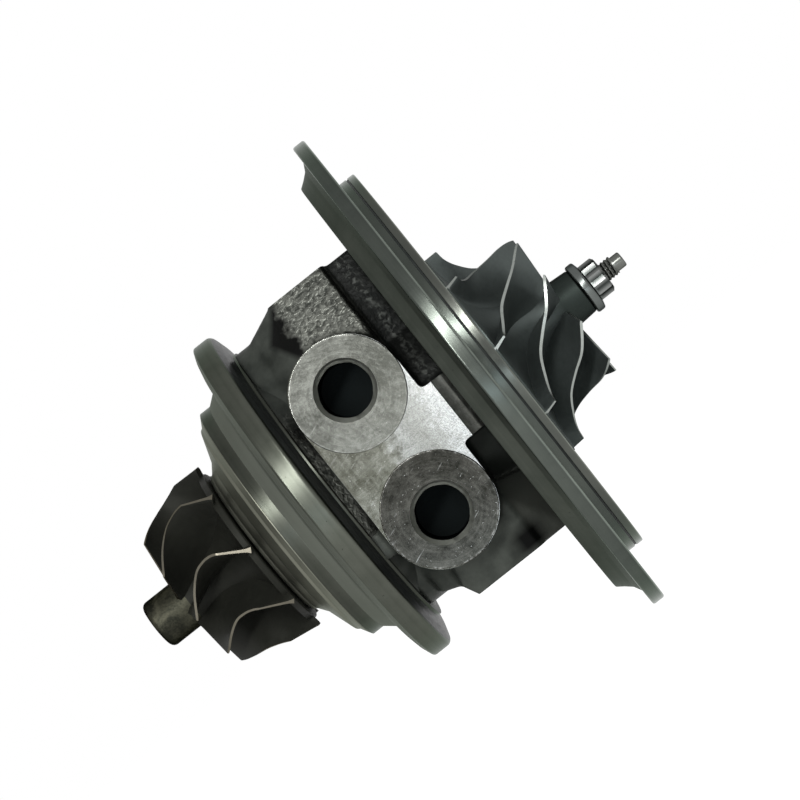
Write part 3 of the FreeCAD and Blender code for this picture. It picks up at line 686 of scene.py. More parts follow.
class Finish(Tree):
    """One procedural material."""

    def __init__(self, name):
        self.material = bpy.data.materials.new(name)
        self.material.use_nodes = True
        super().__init__(self.material.node_tree)
        self.place = self.node("ShaderNodeTexCoord", output="Object")

    def parts(self):
        """Object coordinates x, y and z as three values."""
        return self.node("ShaderNodeSeparateXYZ", inputs=(self.place,)).siblings("X", "Y", "Z")

    def vector(self, x, y, z):
        """Vector of three values."""
        return self.node("ShaderNodeCombineXYZ", inputs=(x, y, z))

    def noise(self, scale, detail=3, roughness=0.5, at=None, distortion=0.0):
        """Noise from 0 to 1, with its scale per metre."""
        inputs = {"Vector": at or self.place, "Scale": scale, "Detail": detail, "Roughness": roughness,
                  "Distortion": distortion}
        return self.node("ShaderNodeTexNoise", {"noise_dimensions": "3D"}, inputs, "Fac")

    def ramp(self, value, *stops):
        """Value led through (position, value) stops."""
        return self.node("ShaderNodeValToRGB", {"stops": stops}, {"Fac": value})

    def level(self, value, low, high, to_low=0.0, to_high=1.0):
        """Map a value from one range to another, held at both ends."""
        inputs = {"Value": value, "From Min": low, "From Max": high, "To Min": to_low, "To Max": to_high}
        return self.node("ShaderNodeMapRange", {"clamp": True}, inputs)

    def along(self, value, start, end, to_low=0.0, to_high=1.0):
        """Map a coordinate from a start to an end in millimetres, held at both ends."""
        return self.level(value, start * MM, end * MM, to_low, to_high)

    def mix(self, share, first, second):
        """Mix of two colours."""
        return self.node("ShaderNodeMix", {"data_type": "RGBA"}, {0: share, 6: first, 7: second}, 2)

    def bump(self, height, depth):
        """Bump of a height from 0 to 1, with its depth in metres."""
        return self.node("ShaderNodeBump", inputs={"Height": height, "Distance": depth, "Strength": 1.0})

    def close(self, color, roughness, metallic=1.0, normal=None, **more):
        """End the material in its shader and return it."""
        inputs = {"Base Color": color, "Roughness": roughness, "Metallic": metallic,
                  "Specular Tint": GRAZING_TINT}
        if normal:
            inputs["Normal"] = normal
        for key, value in more.items():
            inputs[key.replace("_", " ").title().replace("Ior", "IOR")] = value
        shader = self.node("ShaderNodeBsdfPrincipled", inputs=inputs)
        self.node("ShaderNodeOutputMaterial", inputs={"Surface": shader})
        return self.material


def turned_metal(name, dark, light, rough, line_depth=3e-6, pits=0.3, painted_light_bands=()):
    """Turned surface: fine rings about the shaft, soft stains, a few pits, and painted light and shade on
    chosen facets.

    A band is (station in millimetres, tone), in order along the shaft."""
    finish = Finish(name)
    x, y, z = finish.parts()
    rings = finish.vector(x, (y * y + z * z) ** 0.5, 0.0)
    fine = finish.noise(4200, 2, 0.6, rings)
    broad = finish.noise(700, 3, 0.6, rings)
    stain = finish.noise(55, 5, 0.65)
    pit = finish.ramp(finish.noise(1500, 3, 0.7), (0.24, 1.0), (0.33, 0.0)) * pits
    top = max([tone for _, tone in painted_light_bands], default=1.0)
    cloud = finish.level(broad * 0.35 + stain * 0.65, 0.36, 0.62)
    color = finish.mix(cloud, times(dark, top), times(light, top))
    color = finish.mix(pit, color, times(dark, top * 0.3))
    # Painted light and shade: each band's tone makes the colour lighter, as a painted highlight, or darker,
    # as painted shade
    if painted_light_bands:
        first, last = painted_light_bands[0][0], painted_light_bands[-1][0]
        stops = [((at - first) / (last - first), tone / top) for at, tone in painted_light_bands]
        color = finish.mix(finish.ramp(finish.along(x, first, last), *stops), BLACK, color)
    roughness = rough + (fine - 0.5) * 0.1 + (stain - 0.5) * 0.12 + pit * 0.3
    normal = finish.bump(fine * 0.6 + broad * 0.4 - pit * 0.8, line_depth)
    return finish.close(color, roughness, 1.0, normal, specular_tint=TURNED_TINT)


def cast_iron(name):
    """Casting skin: smooth and dark, pebbled by the oil inlet and in the groove beside the boss, with painted
    shade, painted highlights and painted glints.
    """
    finish = Finish(name)
    x, _, z = finish.parts()
    lumps = finish.noise(1100, 2.5, 0.5, distortion=0.5)
    broad = finish.noise(280, 3)
    stain = finish.noise(70, 4)
    wander = (finish.noise(420, 3) - 0.5) * 0.006

    # Shares of the pebbled grain, and of the neck beside the flange
    boss_edge = BOSS_X - BOSS_RADIUS
    rib_top = RIB_Z + RIB_HALF
    inlet = (finish.along(x + wander, INLET_RIDGE - 0.2, INLET_RIDGE + 1.6)
             * finish.along(z + wander, *PEBBLES_FOOT))
    groove = (finish.along(x, boss_edge + 0.2, boss_edge - 0.4)
              * finish.along(z, rib_top - 0.3, rib_top + 0.4) * finish.along(z, *GROOVE_TOP))
    neck = finish.along(x, BODY_END + 0.1, BODY_END + 0.7)
    upper = finish.along(z, *NECK_UPPER)
    pebbles = (inlet * (1.0 - neck)).largest(groove)
    # Pebbled grain: partly the grain's own tone, partly painted glints that are lighter on the tops of the
    # lumps and darker in their valleys
    tone = finish.level(lumps * 0.7 + stain * 0.4, 0.45, 0.72)
    grain_and_glints = finish.mix(tone, (0.033, 0.035, 0.031), (0.155, 0.16, 0.142))

    # Smooth skin with painted shade: nearly black in a band past two slanted edges that meet at the wedge's
    # point, and a little darker beyond the shade's end
    plain = finish.level(broad * 0.5 + stain * 0.5, 0.38, 0.62)
    smooth_skin = finish.mix(plain, (0.02, 0.0225, 0.0195), (0.042, 0.046, 0.04))
    slant = ((z - SHADE_WEDGE_Z * MM) * 0.8).largest((z * -1.0 + SHADE_WEDGE_Z * MM) * 0.6)
    lit = finish.along(x - slant, SHADE_WEDGE_X - 0.8, SHADE_WEDGE_X + 0.8, 1.0, 0.05)
    lit = lit.largest(finish.along(x, *SHADE_END) * 0.7)
    smooth_skin = finish.mix(lit, BLACK, smooth_skin)

    # Neck beside the flange: above the shaft it is painted near black as shade, with a painted highlight
    # strip, and below it a painted shade grows lighter downwards
    highlight_strip = finish.ramp(finish.along(x, BODY_END, FLANGE_BACK),
                        (0.0, 0.1), (0.36, 0.1), (0.46, 1.0), (0.64, 1.0), (0.74, 0.25), (1.0, 0.15))
    above = finish.mix(highlight_strip * finish.level(lumps, 0.45, 0.75), (0.004, 0.0045, 0.004), (0.05, 0.053, 0.048))
    below = finish.mix(finish.along(z, *NECK_LOWER), (0.014, 0.016, 0.014), (0.034, 0.036, 0.031))
    color = finish.mix(neck, finish.mix(pebbles, smooth_skin, grain_and_glints), finish.mix(upper, below, above))

    # Painted shade: near black in the hollow low on the drain block
    hollow_shade = (finish.along(z, *SHADED_HOLLOW_Z[0]) * finish.along(z, *SHADED_HOLLOW_Z[1])
              * finish.along(x, *SHADED_HOLLOW_X[0]) * finish.along(x, *SHADED_HOLLOW_X[1]))
    color = finish.mix(hollow_shade, color, (0.001, 0.0012, 0.001))
    roughness = 0.4 - (lumps - 0.5) * (0.1 + pebbles * 0.2) + (stain - 0.5) * 0.15
    height = finish.level(lumps, 0.32, 0.68) * 0.8 + broad * 0.4
    normal = finish.bump(height * (0.12 + pebbles * 0.88 + neck * upper * 0.4), 1.1e-4)
    return finish.close(color, roughness, 0.3 + pebbles * 0.7, normal, specular_ior_level=0.2)


def cast_skin(name, dark, light, scale, rough):
    """Stained skin of a small casting."""
    finish = Finish(name)
    patches = finish.noise(scale, 4, 0.6, distortion=0.6)
    fine = finish.noise(2600, 3)
    color = finish.mix(finish.level(patches * 0.8 + fine * 0.2, 0.42, 0.62), dark, light)
    return finish.close(color, rough + (patches - 0.5) * 0.3, 1.0, finish.bump(fine * 0.5 + patches, 8e-6))


def milled_face(name, dark, light, rough, swirl=None, painted_light_lobe=0.12, painted_highlight=None):
    """Milled face: fine mottling, marks left by the cutter, scratches and bright nicks.

    A swirl is the (x, z) centre that the marks run round. The lobe argument paints light above and below that
    centre, or shade where it is negative; a little shade is also painted towards +x.
    The painted highlight argument is (from x, to x, colour): highlight bands and specks painted brighter
    towards its far end."""
    finish = Finish(name)
    x, y, z = finish.parts()
    mottle = finish.noise(620, 6, 0.75, distortion=0.3)
    patch = finish.noise(150, 4, 0.6)
    grain = finish.noise(5200, 2)
    if swirl:
        dx = x - swirl[0] * MM
        dz = z - swirl[1] * MM
        reach = (dx * dx + dz * dz) ** 0.5
        arcs = finish.noise(2300, 2, 0.6, finish.vector(reach, 0.0, mottle * 0.0005))
        fan = finish.noise(1500, 3, 0.6, finish.vector((dx - dz) * 0.1, 0.0, (dx + dz) * 0.6 + reach * 0.5))
    else:
        arcs = finish.noise(2300, 3, 0.6, finish.vector(x * 0.1, y, z))
        fan = finish.noise(1500, 3, 0.6, finish.vector(x, y, z * 0.12))
    scratch = finish.noise(1400, 2, 0.5, finish.vector(x * 0.12 + z * 0.05, y, z - x * 0.4))
    marks = finish.ramp(scratch, (0.66, 0.0), (0.72, 1.0))
    nicks = finish.ramp(finish.noise(2300, 3, 0.6), (0.67, 0.0), (0.72, 1.0))
    marked = mottle * 0.35 + patch * 0.25 + arcs * 0.15 + fan * 0.15 + grain * 0.2
    if swirl:
        # Painted light and shade round the boss's centre
        marked = marked + (dz.math("ABSOLUTE") / reach - 0.55) * painted_light_lobe - dx / reach * 0.025
        rim = finish.along(reach, BOSS_RADIUS - 0.45, BOSS_RADIUS - 0.15)
        nicks = nicks.largest(rim * finish.ramp(mottle, (0.5, 0.0), (0.6, 0.4)))
    color = finish.mix(finish.level(marked, 0.46, 0.64), dark, light)
    color = finish.mix((nicks * 0.8).largest(marks * 0.25), color, NICK_COLOR)
    # Painted highlight: bright bands and specks towards the far end of the face
    if painted_highlight:
        start, end, bright = painted_highlight
        highlight_ramp = finish.ramp(finish.along(x + (mottle - 0.5) * 0.006 + (patch - 0.5) * 0.008, start, end),
                             (0.0, 0.0), (0.17, 0.5), (0.3, 0.55), (0.5, 0.4), (0.72, 0.58), (0.88, 1.0))
        specks = finish.level(finish.noise(4300, 2, 0.6), 0.4, 0.54)
        color = finish.mix(highlight_ramp, color, finish.mix(specks, times(bright, 0.68), bright))
    roughness = rough + (mottle - 0.5) * 0.2 + (fan - 0.5) * 0.1 - marks * 0.04
    normal = finish.bump(arcs * 0.4 + fan * 0.4 + grain * 0.3 - marks * 0.3 + nicks * 0.25, 8e-6)
    return finish.close(color, roughness, 1.0, normal)


def plain_metal(name, color, rough, metallic=1.0, grain=1200, depth=3e-6, **more):
    """Evenly finished metal with slight variation."""
    finish = Finish(name)
    spots = finish.noise(grain, 3)
    tone = finish.level(spots * 0.4 + finish.noise(grain * 0.08, 3) * 0.6, 0.35, 0.65)
    shade = finish.mix(tone, times(color, 0.75), color)
    return finish.close(shade, rough + (spots - 0.5) * 0.2, metallic, finish.bump(spots, depth), **more)


def fading_metal(name, color, far, start, end):
    """Machined metal that turns darker along the shaft, from a start to an end in millimetres."""
    finish = Finish(name)
    x = finish.parts()[0]
    spots = finish.noise(1200, 3)
    tone = finish.level(spots * 0.4 + finish.noise(96, 3) * 0.6, 0.35, 0.65)
    share = finish.along(x, start, end)
    near, past = [finish.mix(tone, times(tint, 0.75), tint) for tint in (color, far)]
    return finish.close(finish.mix(share, near, past), 0.45 + share * 0.05 + (spots - 0.5) * 0.2,
                        0.65 + share * 0.25, finish.bump(spots, 3e-6))


def nut_steel(name, grips):
    """Plated steel, with painted highlights and painted shade that alternate round the points of the nut."""
    finish = Finish(name)
    x, y, z = finish.parts()
    angle = z.math("ARCTAN2", z, y * -1.0) + GRIP_ANGLE
    painted_facet_light = (angle * grips).math("COSINE") * 0.5 + 0.5
    broad = finish.noise(500, 3)
    grip = finish.along(x, NUT_FLANGE, NUT_FLANGE + 0.4) * finish.along(x, NUT_TOP + 0.2, NUT_TOP)
    # Painted light: bright and dark facets alternate round the points, as painted highlights and painted
    # shade
    shade = finish.mix(painted_facet_light, (0.03, 0.034, 0.032), (0.15, 0.155, 0.15))
    plain = finish.mix(broad, (0.075, 0.083, 0.078), (0.12, 0.13, 0.125))
    return finish.close(finish.mix(grip, plain, shade), 0.27 + (broad - 0.5) * 0.1, 1.0,
                        finish.bump(broad, 1e-6))


def rubber(name):
    """Black seal rubber with a little dust."""
    finish = Finish(name)
    dust = finish.noise(400, 4)
    color = finish.mix(finish.level(dust, 0.4, 0.7), (0.016, 0.019, 0.018), (0.03, 0.034, 0.032))
    return finish.close(color, 0.6 + (dust - 0.5) * 0.2, 0.0, finish.bump(dust, 5e-6))


# Painted highlight: a bright band on the front edge of the clamping rim
FLANGE_IRON = turned_metal(
    "flange_iron", dark=(0.042, 0.048, 0.043), light=(0.066, 0.074, 0.065), rough=0.21,
    painted_light_bands=((-RIM_HALF, 1.0), (RIM_HALF - 0.35, 1.0), (RIM_HALF - 0.25, 2.6), (RIM_HALF + 0.02, 2.6),
           (RIM_HALF + 0.1, 1.0), (SPIGOT_FRONT, 1.0)))
HUB_SKIN = turned_metal(
    "flange_hub", dark=(0.03, 0.0345, 0.0285), light=(0.052, 0.057, 0.048), rough=0.5,
    line_depth=8e-6, pits=0.9)
# Painted highlight: a bright band on the front edge of the back plate
PLATE_IRON = turned_metal(
    "plate_iron", dark=(0.047, 0.052, 0.046), light=(0.074, 0.078, 0.069), rough=0.19,
    painted_light_bands=((PLATE_SEAT, 1.0), (PLATE_FRONT - 0.25, 1.0), (PLATE_FRONT - 0.15, 2.4), (PLATE_FRONT, 2.4)))
# Painted shade: darker bands on the register and on the land by the foot
TURBINE_FLANGE_IRON = turned_metal(
    "turbine_flange_iron", dark=(0.042, 0.046, 0.037), light=(0.07, 0.074, 0.062), rough=0.3, pits=0.9,
    painted_light_bands=((REGISTER_END, 0.6), (REGISTER_BACK - 0.2, 0.75), (V_RIM_FACE + 0.2, 1.0),
           (BODY_START - 1.2, 1.0), (BODY_START - 0.9, 0.55)))
CONE_IRON = turned_metal(
    "cone_iron", dark=(0.096, 0.103, 0.087), light=(0.11, 0.118, 0.1), rough=0.62, line_depth=1e-6, pits=0.2)
# Painted shade: the back flank of the V rim gets a darker, less metallic copy of the flange iron
FLANK_IRON_SHADED = plain_metal("flank_iron", (0.02, 0.0225, 0.0215), rough=0.35, metallic=0.3,
                         specular_ior_level=0.2)
SHIELD_STEEL = turned_metal(
    "shield_steel", dark=(0.115, 0.118, 0.095), light=(0.15, 0.152, 0.124), rough=0.45, line_depth=1e-6)
CAST_IRON = cast_iron("cast_iron")
BORE_IRON = plain_metal("bored_iron", (0.26, 0.27, 0.24), rough=0.5)
# Painted shade: near black for the depths of the ports
PORT_SHADE = plain_metal("port_depths", (0.004, 0.005, 0.005), rough=0.5)
PAD_FACE = milled_face("oil_faces", dark=(0.16, 0.165, 0.15), light=(0.34, 0.345, 0.32), rough=0.3)
# Painted highlight: the web is painted brighter towards the flange
WEB_FACE = milled_face("web_face", dark=(0.09, 0.092, 0.072), light=(0.18, 0.183, 0.158), rough=0.17,
                       painted_highlight=(*WEB_HIGHLIGHT, (0.43, 0.444, 0.435)))
SCOOP_FACE = milled_face("scoop_face", dark=(0.2, 0.203, 0.192), light=(0.43, 0.435, 0.415), rough=0.4)
# Lit and shaded copies of one milled face: the lower boss is painted darker as shade, and each lobe paints
# light and shade on its face
BOSS_FACES = [
    milled_face("boss_face_1", dark=(0.08, 0.083, 0.072), light=(0.19, 0.195, 0.175), rough=0.18,
                swirl=(BOSS_X, BOSS_HEIGHTS[0])),
    milled_face("boss_face_2", dark=(0.014, 0.0145, 0.012), light=(0.062, 0.061, 0.053), rough=0.18,
                swirl=(BOSS_X, BOSS_HEIGHTS[1]), painted_light_lobe=-0.02)]
WHEEL_ALUMINIUM = plain_metal("wheel_aluminium", (0.092, 0.107, 0.102), rough=0.45, metallic=0.65)
HUB_ALUMINIUM = fading_metal(
    "hub_aluminium", (0.092, 0.107, 0.102), far=(0.024, 0.03, 0.027),
    start=COMPRESSOR_INLET - 6, end=COMPRESSOR_INLET - 0.5)
BLADE_EDGE = plain_metal("machined_blade_edge", (0.3, 0.32, 0.3), rough=0.3)
TURBINE_ALLOY = plain_metal("turbine_alloy", (0.015, 0.0155, 0.0125), rough=0.5, metallic=0.2, grain=700,
                            depth=1e-5, specular_ior_level=0.2)
NOSE_ALLOY = cast_skin("turbine_nose", (0.014, 0.0145, 0.011), (0.05, 0.049, 0.035), scale=170, rough=0.5)
TURBINE_EDGE = plain_metal("ground_turbine_edge", (0.13, 0.12, 0.095), rough=0.34)
BRIGHT_STEEL = plain_metal("bright_steel", (0.42, 0.42, 0.42), rough=0.2)
NUT_STEEL = nut_steel("nut_steel", NUT_POINTS)
END_STEEL = plain_metal("shaft_end_steel", (0.12, 0.125, 0.115), rough=0.27, grain=500, depth=1e-6)
PLUG_STEEL = plain_metal("plug_steel", (0.4, 0.38, 0.33), rough=0.3)
DARK_SCREWS = plain_metal("blackened_steel", (0.05, 0.05, 0.05), rough=0.4)
BRONZE = plain_metal("bearing_bronze", (0.5, 0.3, 0.12), rough=0.3)
RUBBER = rubber("seal_rubber")


# Stage, light and camera

# Lengths in millimetres, the roll in degrees
CAMERA_DISTANCE = 600.0
CLIP_START = 10.0
CLIP_END = 20000.0
AIM = (-15.75, 0.0, 5.38)
PHOTO_ROLL = 38.4
PHOTO_FIELD = 160.0
SENSOR = 36.0
FLOOR_GAP = 55.0
FLOOR_HALF = 3000.0

# Shares of full white
SKY_FOR_DIFFUSE = 0.45
FLOOR_GLOW = 0.68


def point_at(obj, direction, roll):
    """Point a camera or lamp in a direction, turned about its own axis by a roll."""
    turn = direction.to_track_quat("-Z", "Y").to_matrix() @ Matrix.Rotation(radians(roll), 3, "Z")
    obj.rotation_euler = turn.to_euler()


def camera():
    """Camera in the plane of the compressor flange, rolled as in the photograph."""
    data = bpy.data.cameras.new("camera")
    data.sensor_width = SENSOR
    data.lens = SENSOR * CAMERA_DISTANCE / PHOTO_FIELD
    data.clip_start = CLIP_START * MM
    data.clip_end = CLIP_END * MM
    cam = add_object("camera", data)
    cam.location = Vector((0, -CAMERA_DISTANCE, 0)) * MM
    point_at(cam, Vector(AIM) * MM - cam.location, -PHOTO_ROLL)
    bpy.context.scene.camera = cam


def area_light(name, direction, distance, size, power, roll=0, color=(1, 1, 1)):
    """Soft lamp that faces the part from a direction, with its distance and size in metres."""
    data = bpy.data.lights.new(name, "AREA")
    data.shape = "RECTANGLE"
    data.size, data.size_y = size
    data.energy = power
    data.color = color
    lamp = add_object(name, data)
    direction = Vector(direction).normalized()
    lamp.location = Vector(AIM) * MM + direction * distance
    point_at(lamp, -direction, roll)


def world():
    """White surroundings for the camera and for reflections, and a dimmer white for diffuse light."""
    made = bpy.data.worlds.new("studio")
    bpy.context.scene.world = made
    made.use_nodes = True
    tree = Tree(made.node_tree)
    strength = tree.node("ShaderNodeMapRange", inputs={
        "Value": tree.seen(), "To Min": SKY_FOR_DIFFUSE, "To Max": 1.0})
    back = tree.node("ShaderNodeBackground", inputs={"Color": (1, 1, 1), "Strength": strength})
    tree.node("ShaderNodeOutputWorld", inputs=(back,))


def floor():
    """Pale floor below the part: white to the camera and in reflections, with a soft shadow."""
    level = cad_box[0].z / MM - FLOOR_GAP
    corners = [(x * FLOOR_HALF, y * FLOOR_HALF, level) for x, y in ((-1, -1), (1, -1), (1, 1), (-1, 1))]
    obj = mesh_object("floor", corners, [(0, 1, 2, 3)])
    finish = Finish("pale_floor")
    color = finish.mix(finish.noise(8, 2), (0.84, 0.84, 0.84), (0.86, 0.86, 0.86))
    glow = finish.mix(finish.seen(), BLACK, (FLOOR_GLOW, FLOOR_GLOW, FLOOR_GLOW))
    dress(obj, finish.close(color, 0.9, 0.0, emission_color=glow, emission_strength=1.0,
                            specular_ior_level=0.0))


camera()
world()
floor()
area_light("key", direction=(-0.1, -1.0, 0.33), distance=0.6, size=(0.55, 0.055), power=4.0, roll=26)
area_light("fill", direction=(0.05, -1.0, -0.165), distance=0.6, size=(0.5, 0.045), power=0.36, roll=-12,
           color=(0.8, 0.9, 1.0))
area_light("front", direction=(0.0084, -1.0, 0.008), distance=0.64, size=(0.03, 0.03), power=0.018)
bpy.context.scene.view_settings.view_transform = "Standard"


# Housing


def replace(obj, body, node):
    """Hide the CAD node that a finished piece stands for, and attach the piece to its body."""
    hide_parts(node)
    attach(obj, body)


def compressor_flange():
    """Turned flange with its hub, clamping rim, spigot and the pocket of the back plate."""
    pocket = PLATE_POCKET + 0.02
    flange = turned("compressor_flange", [
        (FLANGE_BACK, FLANGE_BORE),
        (FLANGE_BACK, HUB_RADIUS - 0.5, 0.5),
        (FLANGE_BACK + 1.4, HUB_RADIUS + 0.5, 1.0),
        (-RIM_HALF - 0.9, HUB_RADIUS + HUB_FLARE / 2, 1.2),
        (-RIM_HALF, HUB_RADIUS + HUB_FLARE, 0.6),
        (-RIM_HALF, RIM_RADIUS, 0.5),
        (RIM_HALF, RIM_RADIUS, 0.5),
        (RIM_HALF, PLATE_RADIUS, 0.1),
        (SPIGOT_FRONT, PLATE_RADIUS, 0.08),
        (SPIGOT_FRONT, pocket),
        (PLATE_BACK, pocket),
        (PLATE_BACK, FLANGE_BORE),
    ], LARGE_RING)

    def skin(centre, normal):
        return centre.x < -RIM_HALF - 0.02 and centre.yz.length < HUB_RADIUS + HUB_FLARE - 0.1

    return paint(smooth(flange), [FLANGE_IRON, HUB_SKIN], skin)


def turbine_flange():
    """Turned V flange with its foot, cone, register and the collar round the shaft."""
    foot = BODY_START + V_FOOT
    flange = turned("turbine_flange", [
        (foot + V_FOOT, SHAFT_BORE),
        (foot + V_FOOT, NECK_RADIUS, 1.0),
        (foot, V_BASE_RADIUS - 4, 1.0),
        (BODY_START, V_BASE_RADIUS - 2, 0.3),
        (BODY_START, V_BASE_RADIUS + 0.1, 0.2),
        (BODY_START - 0.6, V_BASE_RADIUS + 0.1, 0.1),
        (BODY_START - 0.9, V_BASE_RADIUS + 1.0, 0.8),
        (BODY_START - 1.2, V_RIM_RADIUS - 3, 1.5),
        (V_RIM_BACK + 0.3, V_RIM_RADIUS, 1.3),
        (V_RIM_FACE + 1.5, V_RIM_RADIUS, 0.5),
        (V_RIM_FACE + 0.75, V_RIM_RADIUS - 1.9, 1.0),
        (V_RIM_FACE + 0.25, V_BASE_RADIUS + 2.0, 1.0),
        (V_RIM_FACE - 0.2, CONE_RADIUS + 1.0, 0.6),
        (V_RIM_FACE - 0.6, CONE_RADIUS, 0.6),
        (REGISTER_BACK - 0.3, REGISTER_RADIUS, 0.1),
        (REGISTER_END, REGISTER_RADIUS, 0.1),
        (REGISTER_END, COLLAR_RADIUS + 4, 1.0),
        (REGISTER_END + 1.6, COLLAR_RADIUS, 1.0),
        (COLLAR_END, COLLAR_RADIUS, 0.6),
        (COLLAR_END, SHAFT_BORE),
    ], MEDIUM_RING)

    def skin(centre, normal):
        if centre.x > BODY_START - 0.1:
            return 1
        if centre.x < V_RIM_FACE + 1.3:
            return 2 if centre.x > REGISTER_BACK - 0.35 else 0
        # The back flank of the V rim gets the copy painted darker as shade
        return 3 if V_RIM_BACK + 0.35 < centre.x < BODY_START - 0.65 else 0

    return paint(smooth(flange), [TURBINE_FLANGE_IRON, CAST_IRON, CONE_IRON, FLANK_IRON_SHADED], skin)


def casting_blocks():
    """Overlapping blocks of the casting, before they grow together."""
    left = BOSS_X - BOSS_RADIUS
    right = BOSS_X + BOSS_RADIUS
    top = BOSS_HEIGHTS[0] + BOSS_RADIUS
    bottom = BOSS_HEIGHTS[1] - BOSS_RADIUS
    proud = PAD_PLANE + PROUD
    roof = INLET_TOP + PROUD
    floor_z = -DRAIN_FACE - PROUD
    shoulder_top = BODY_TOP - 0.6
    core = prism("core", [
        (-BODY_FRONT, -12, 8), (-BODY_FRONT, 12, 9), (-15, BODY_TOP, 4), (13, BODY_TOP, 8),
        (BODY_BACK, 14, 8), (BODY_BACK, -16, 8), (12, -BODY_FLOOR, 8), (-14, -BODY_FLOOR, 8)],
        BODY_START, BODY_END)
    platform = prism("platform", [
        (left, bottom, BOSS_RADIUS), (left, top, BOSS_RADIUS),
        (right, top, BOSS_RADIUS), (right, bottom, BOSS_RADIUS)], -proud, -BLOCK_ROOT,
        plane="xz", steps=16)
    inlet = [(-INLET_FRONT, INLET_FOOT), (-18.6, roof), (INLET_BACK, INLET_FOOT), (INLET_BACK - 1, roof)]
    inlet = hull("inlet", [(INLET_RIDGE, inlet), (BODY_END, inlet)])
    shoulder = hull("shoulder", [
        (INLET_RIDGE, [(-INLET_FRONT, INLET_FOOT), (-18.8, INLET_TOP),
                       (INLET_BACK - 2, INLET_TOP), (INLET_BACK, INLET_FOOT)]),
        (SHOULDER_END, [(3 - INLET_FRONT, SHOULDER_FOOT), (-14.5, shoulder_top),
                        (INLET_BACK - 4, shoulder_top), (INLET_BACK - 2, SHOULDER_FOOT)])])
    drain_root = [(-DRAIN_HALF - 3, DRAIN_ROOT), (DRAIN_HALF + 1.5, DRAIN_ROOT)]
    drain_floor = [(-DRAIN_HALF, floor_z), (DRAIN_HALF, floor_z)]
    drain = hull("drain", [
        (DRAIN_FOOT + 2, drain_root),
        (DRAIN_FOOT, [(-DRAIN_HALF, -BODY_FLOOR - 0.6), (DRAIN_HALF, -BODY_FLOOR - 0.6)]),
        (DRAIN_RIDGE, drain_floor),
        (BODY_END, drain_root + drain_floor)])
    toe = hull("toe", [
        (DRAIN_TOE, [(-20, TOE_ROOT), (-18, 0.8 - BODY_FLOOR), (18, 0.8 - BODY_FLOOR), (20, TOE_ROOT)]),
        (DRAIN_RIDGE, [(-24, TOE_ROOT), (-21, -BODY_FLOOR - 1.2), (21, -BODY_FLOOR - 1.2), (22, TOE_ROOT)])])
    web = block("web", (BOSS_X, -proud, WEB_Z - WEB_HALF), (FLANGE_BACK + 1, 0, WEB_Z + WEB_HALF))
    rib = block("rib", (BODY_START - 0.8, 0.9 - PAD_PLANE, RIB_Z - RIB_HALF), (left + 3, 0, RIB_Z + RIB_HALF))
    neck = turned("neck", [
        (BODY_END - 3, 2), (BODY_END - 3, NECK_RADIUS), (NECK_END, NECK_RADIUS), (NECK_END, 2)])
    top_web = hull("top_web", [
        (x, [(side * 16.5, INLET_TOP - 0.5), (side * 18.5, 26), (side * 18.3, 16), (side * 7, 0)])
        for side in (-1, 1) for x in (BODY_END - 2, NECK_END)])
    low_web = hull("low_web", [
        section for side in (-1, 1) for section in (
            (BODY_END - 2, [(side * 23.8 - 0.6, DRAIN_ROOT), (side * 21.4, -DRAIN_FACE)]),
            (NECK_END, [(side * 18, DRAIN_ROOT - 2), (side * 20, -DRAIN_FACE)]))])
    plug_pad = bore("plug_pad", -BODY_BACK - 1, -BLOCK_ROOT, PLUG_RADIUS + 2.4, (PLUG_X, PLUG_Z))
    return [core, platform, inlet, shoulder, drain, toe, web, rib, neck, top_web, low_web, plug_pad]


def casting_cutters():
    """Spaces of the ports, the oil inlet and drain, the plugs and the step beside the flange."""
    cutters = [bore("port", PORT_CUT, BOSS_PLANE + 1, PORT_RADIUS + 1.6, (BOSS_X, z)) for z in PORT_HEIGHTS]
    cutters.append(turned("inlet_hole", [
        (INLET_TOP - 12, 0), (INLET_TOP - 12, INLET_RADIUS), (INLET_TOP - 0.6, INLET_RADIUS),
        (INLET_TOP + 1, INLET_RADIUS + 1.6), (INLET_TOP + 1, 0)], SMALL_RING, (INLET_X, 0), "Z"))
    mouth = -DRAIN_FACE - 1
    cutters.append(bore("drain_hole", mouth, DRAIN_ROOT - 4, DRAIN_RADIUS, (DRAIN_X, 0), "Z"))
    bolt_end = 10 - DRAIN_FACE
    for y in (-DRAIN_BOLT_Y, DRAIN_BOLT_Y):
        cutters.append(turned("bolt_hole", [
            (mouth, 0), (mouth, DRAIN_BOLT_RADIUS), (bolt_end, DRAIN_BOLT_RADIUS), (bolt_end + 1.5, 0)],
            TINY_RING, (DRAIN_X, y), "Z"))
    cutters.append(bore("plug_hole", PLUG_MOUTH, PLUG_FLOOR, PLUG_RADIUS, (PLUG_X, PLUG_Z)))
    cutters.append(bore("gallery_hole", PLUG_MOUTH, PLUG_FLOOR, GALLERY_RADIUS, (INLET_X, GALLERY_Z),
                        segments=TINY_RING))
    start = FLANGE_BACK - STEP_WIDTH
    end = FLANGE_BACK - 0.02
    outside = -PAD_PLANE - 3
    cutters.append(prism("step", [
        (start, outside), (start, -PAD_PLANE - 0.02), (start + 0.9, 0.9 - PAD_PLANE, 3.0),
        (start + 2.4, 1.7 - PAD_PLANE, 1.0), (end, 3.5 - PAD_PLANE), (end, outside)],
        WEB_Z - WEB_HALF - 3, WEB_Z + WEB_HALF + 3, plane="xy", steps=8))
    return cutters


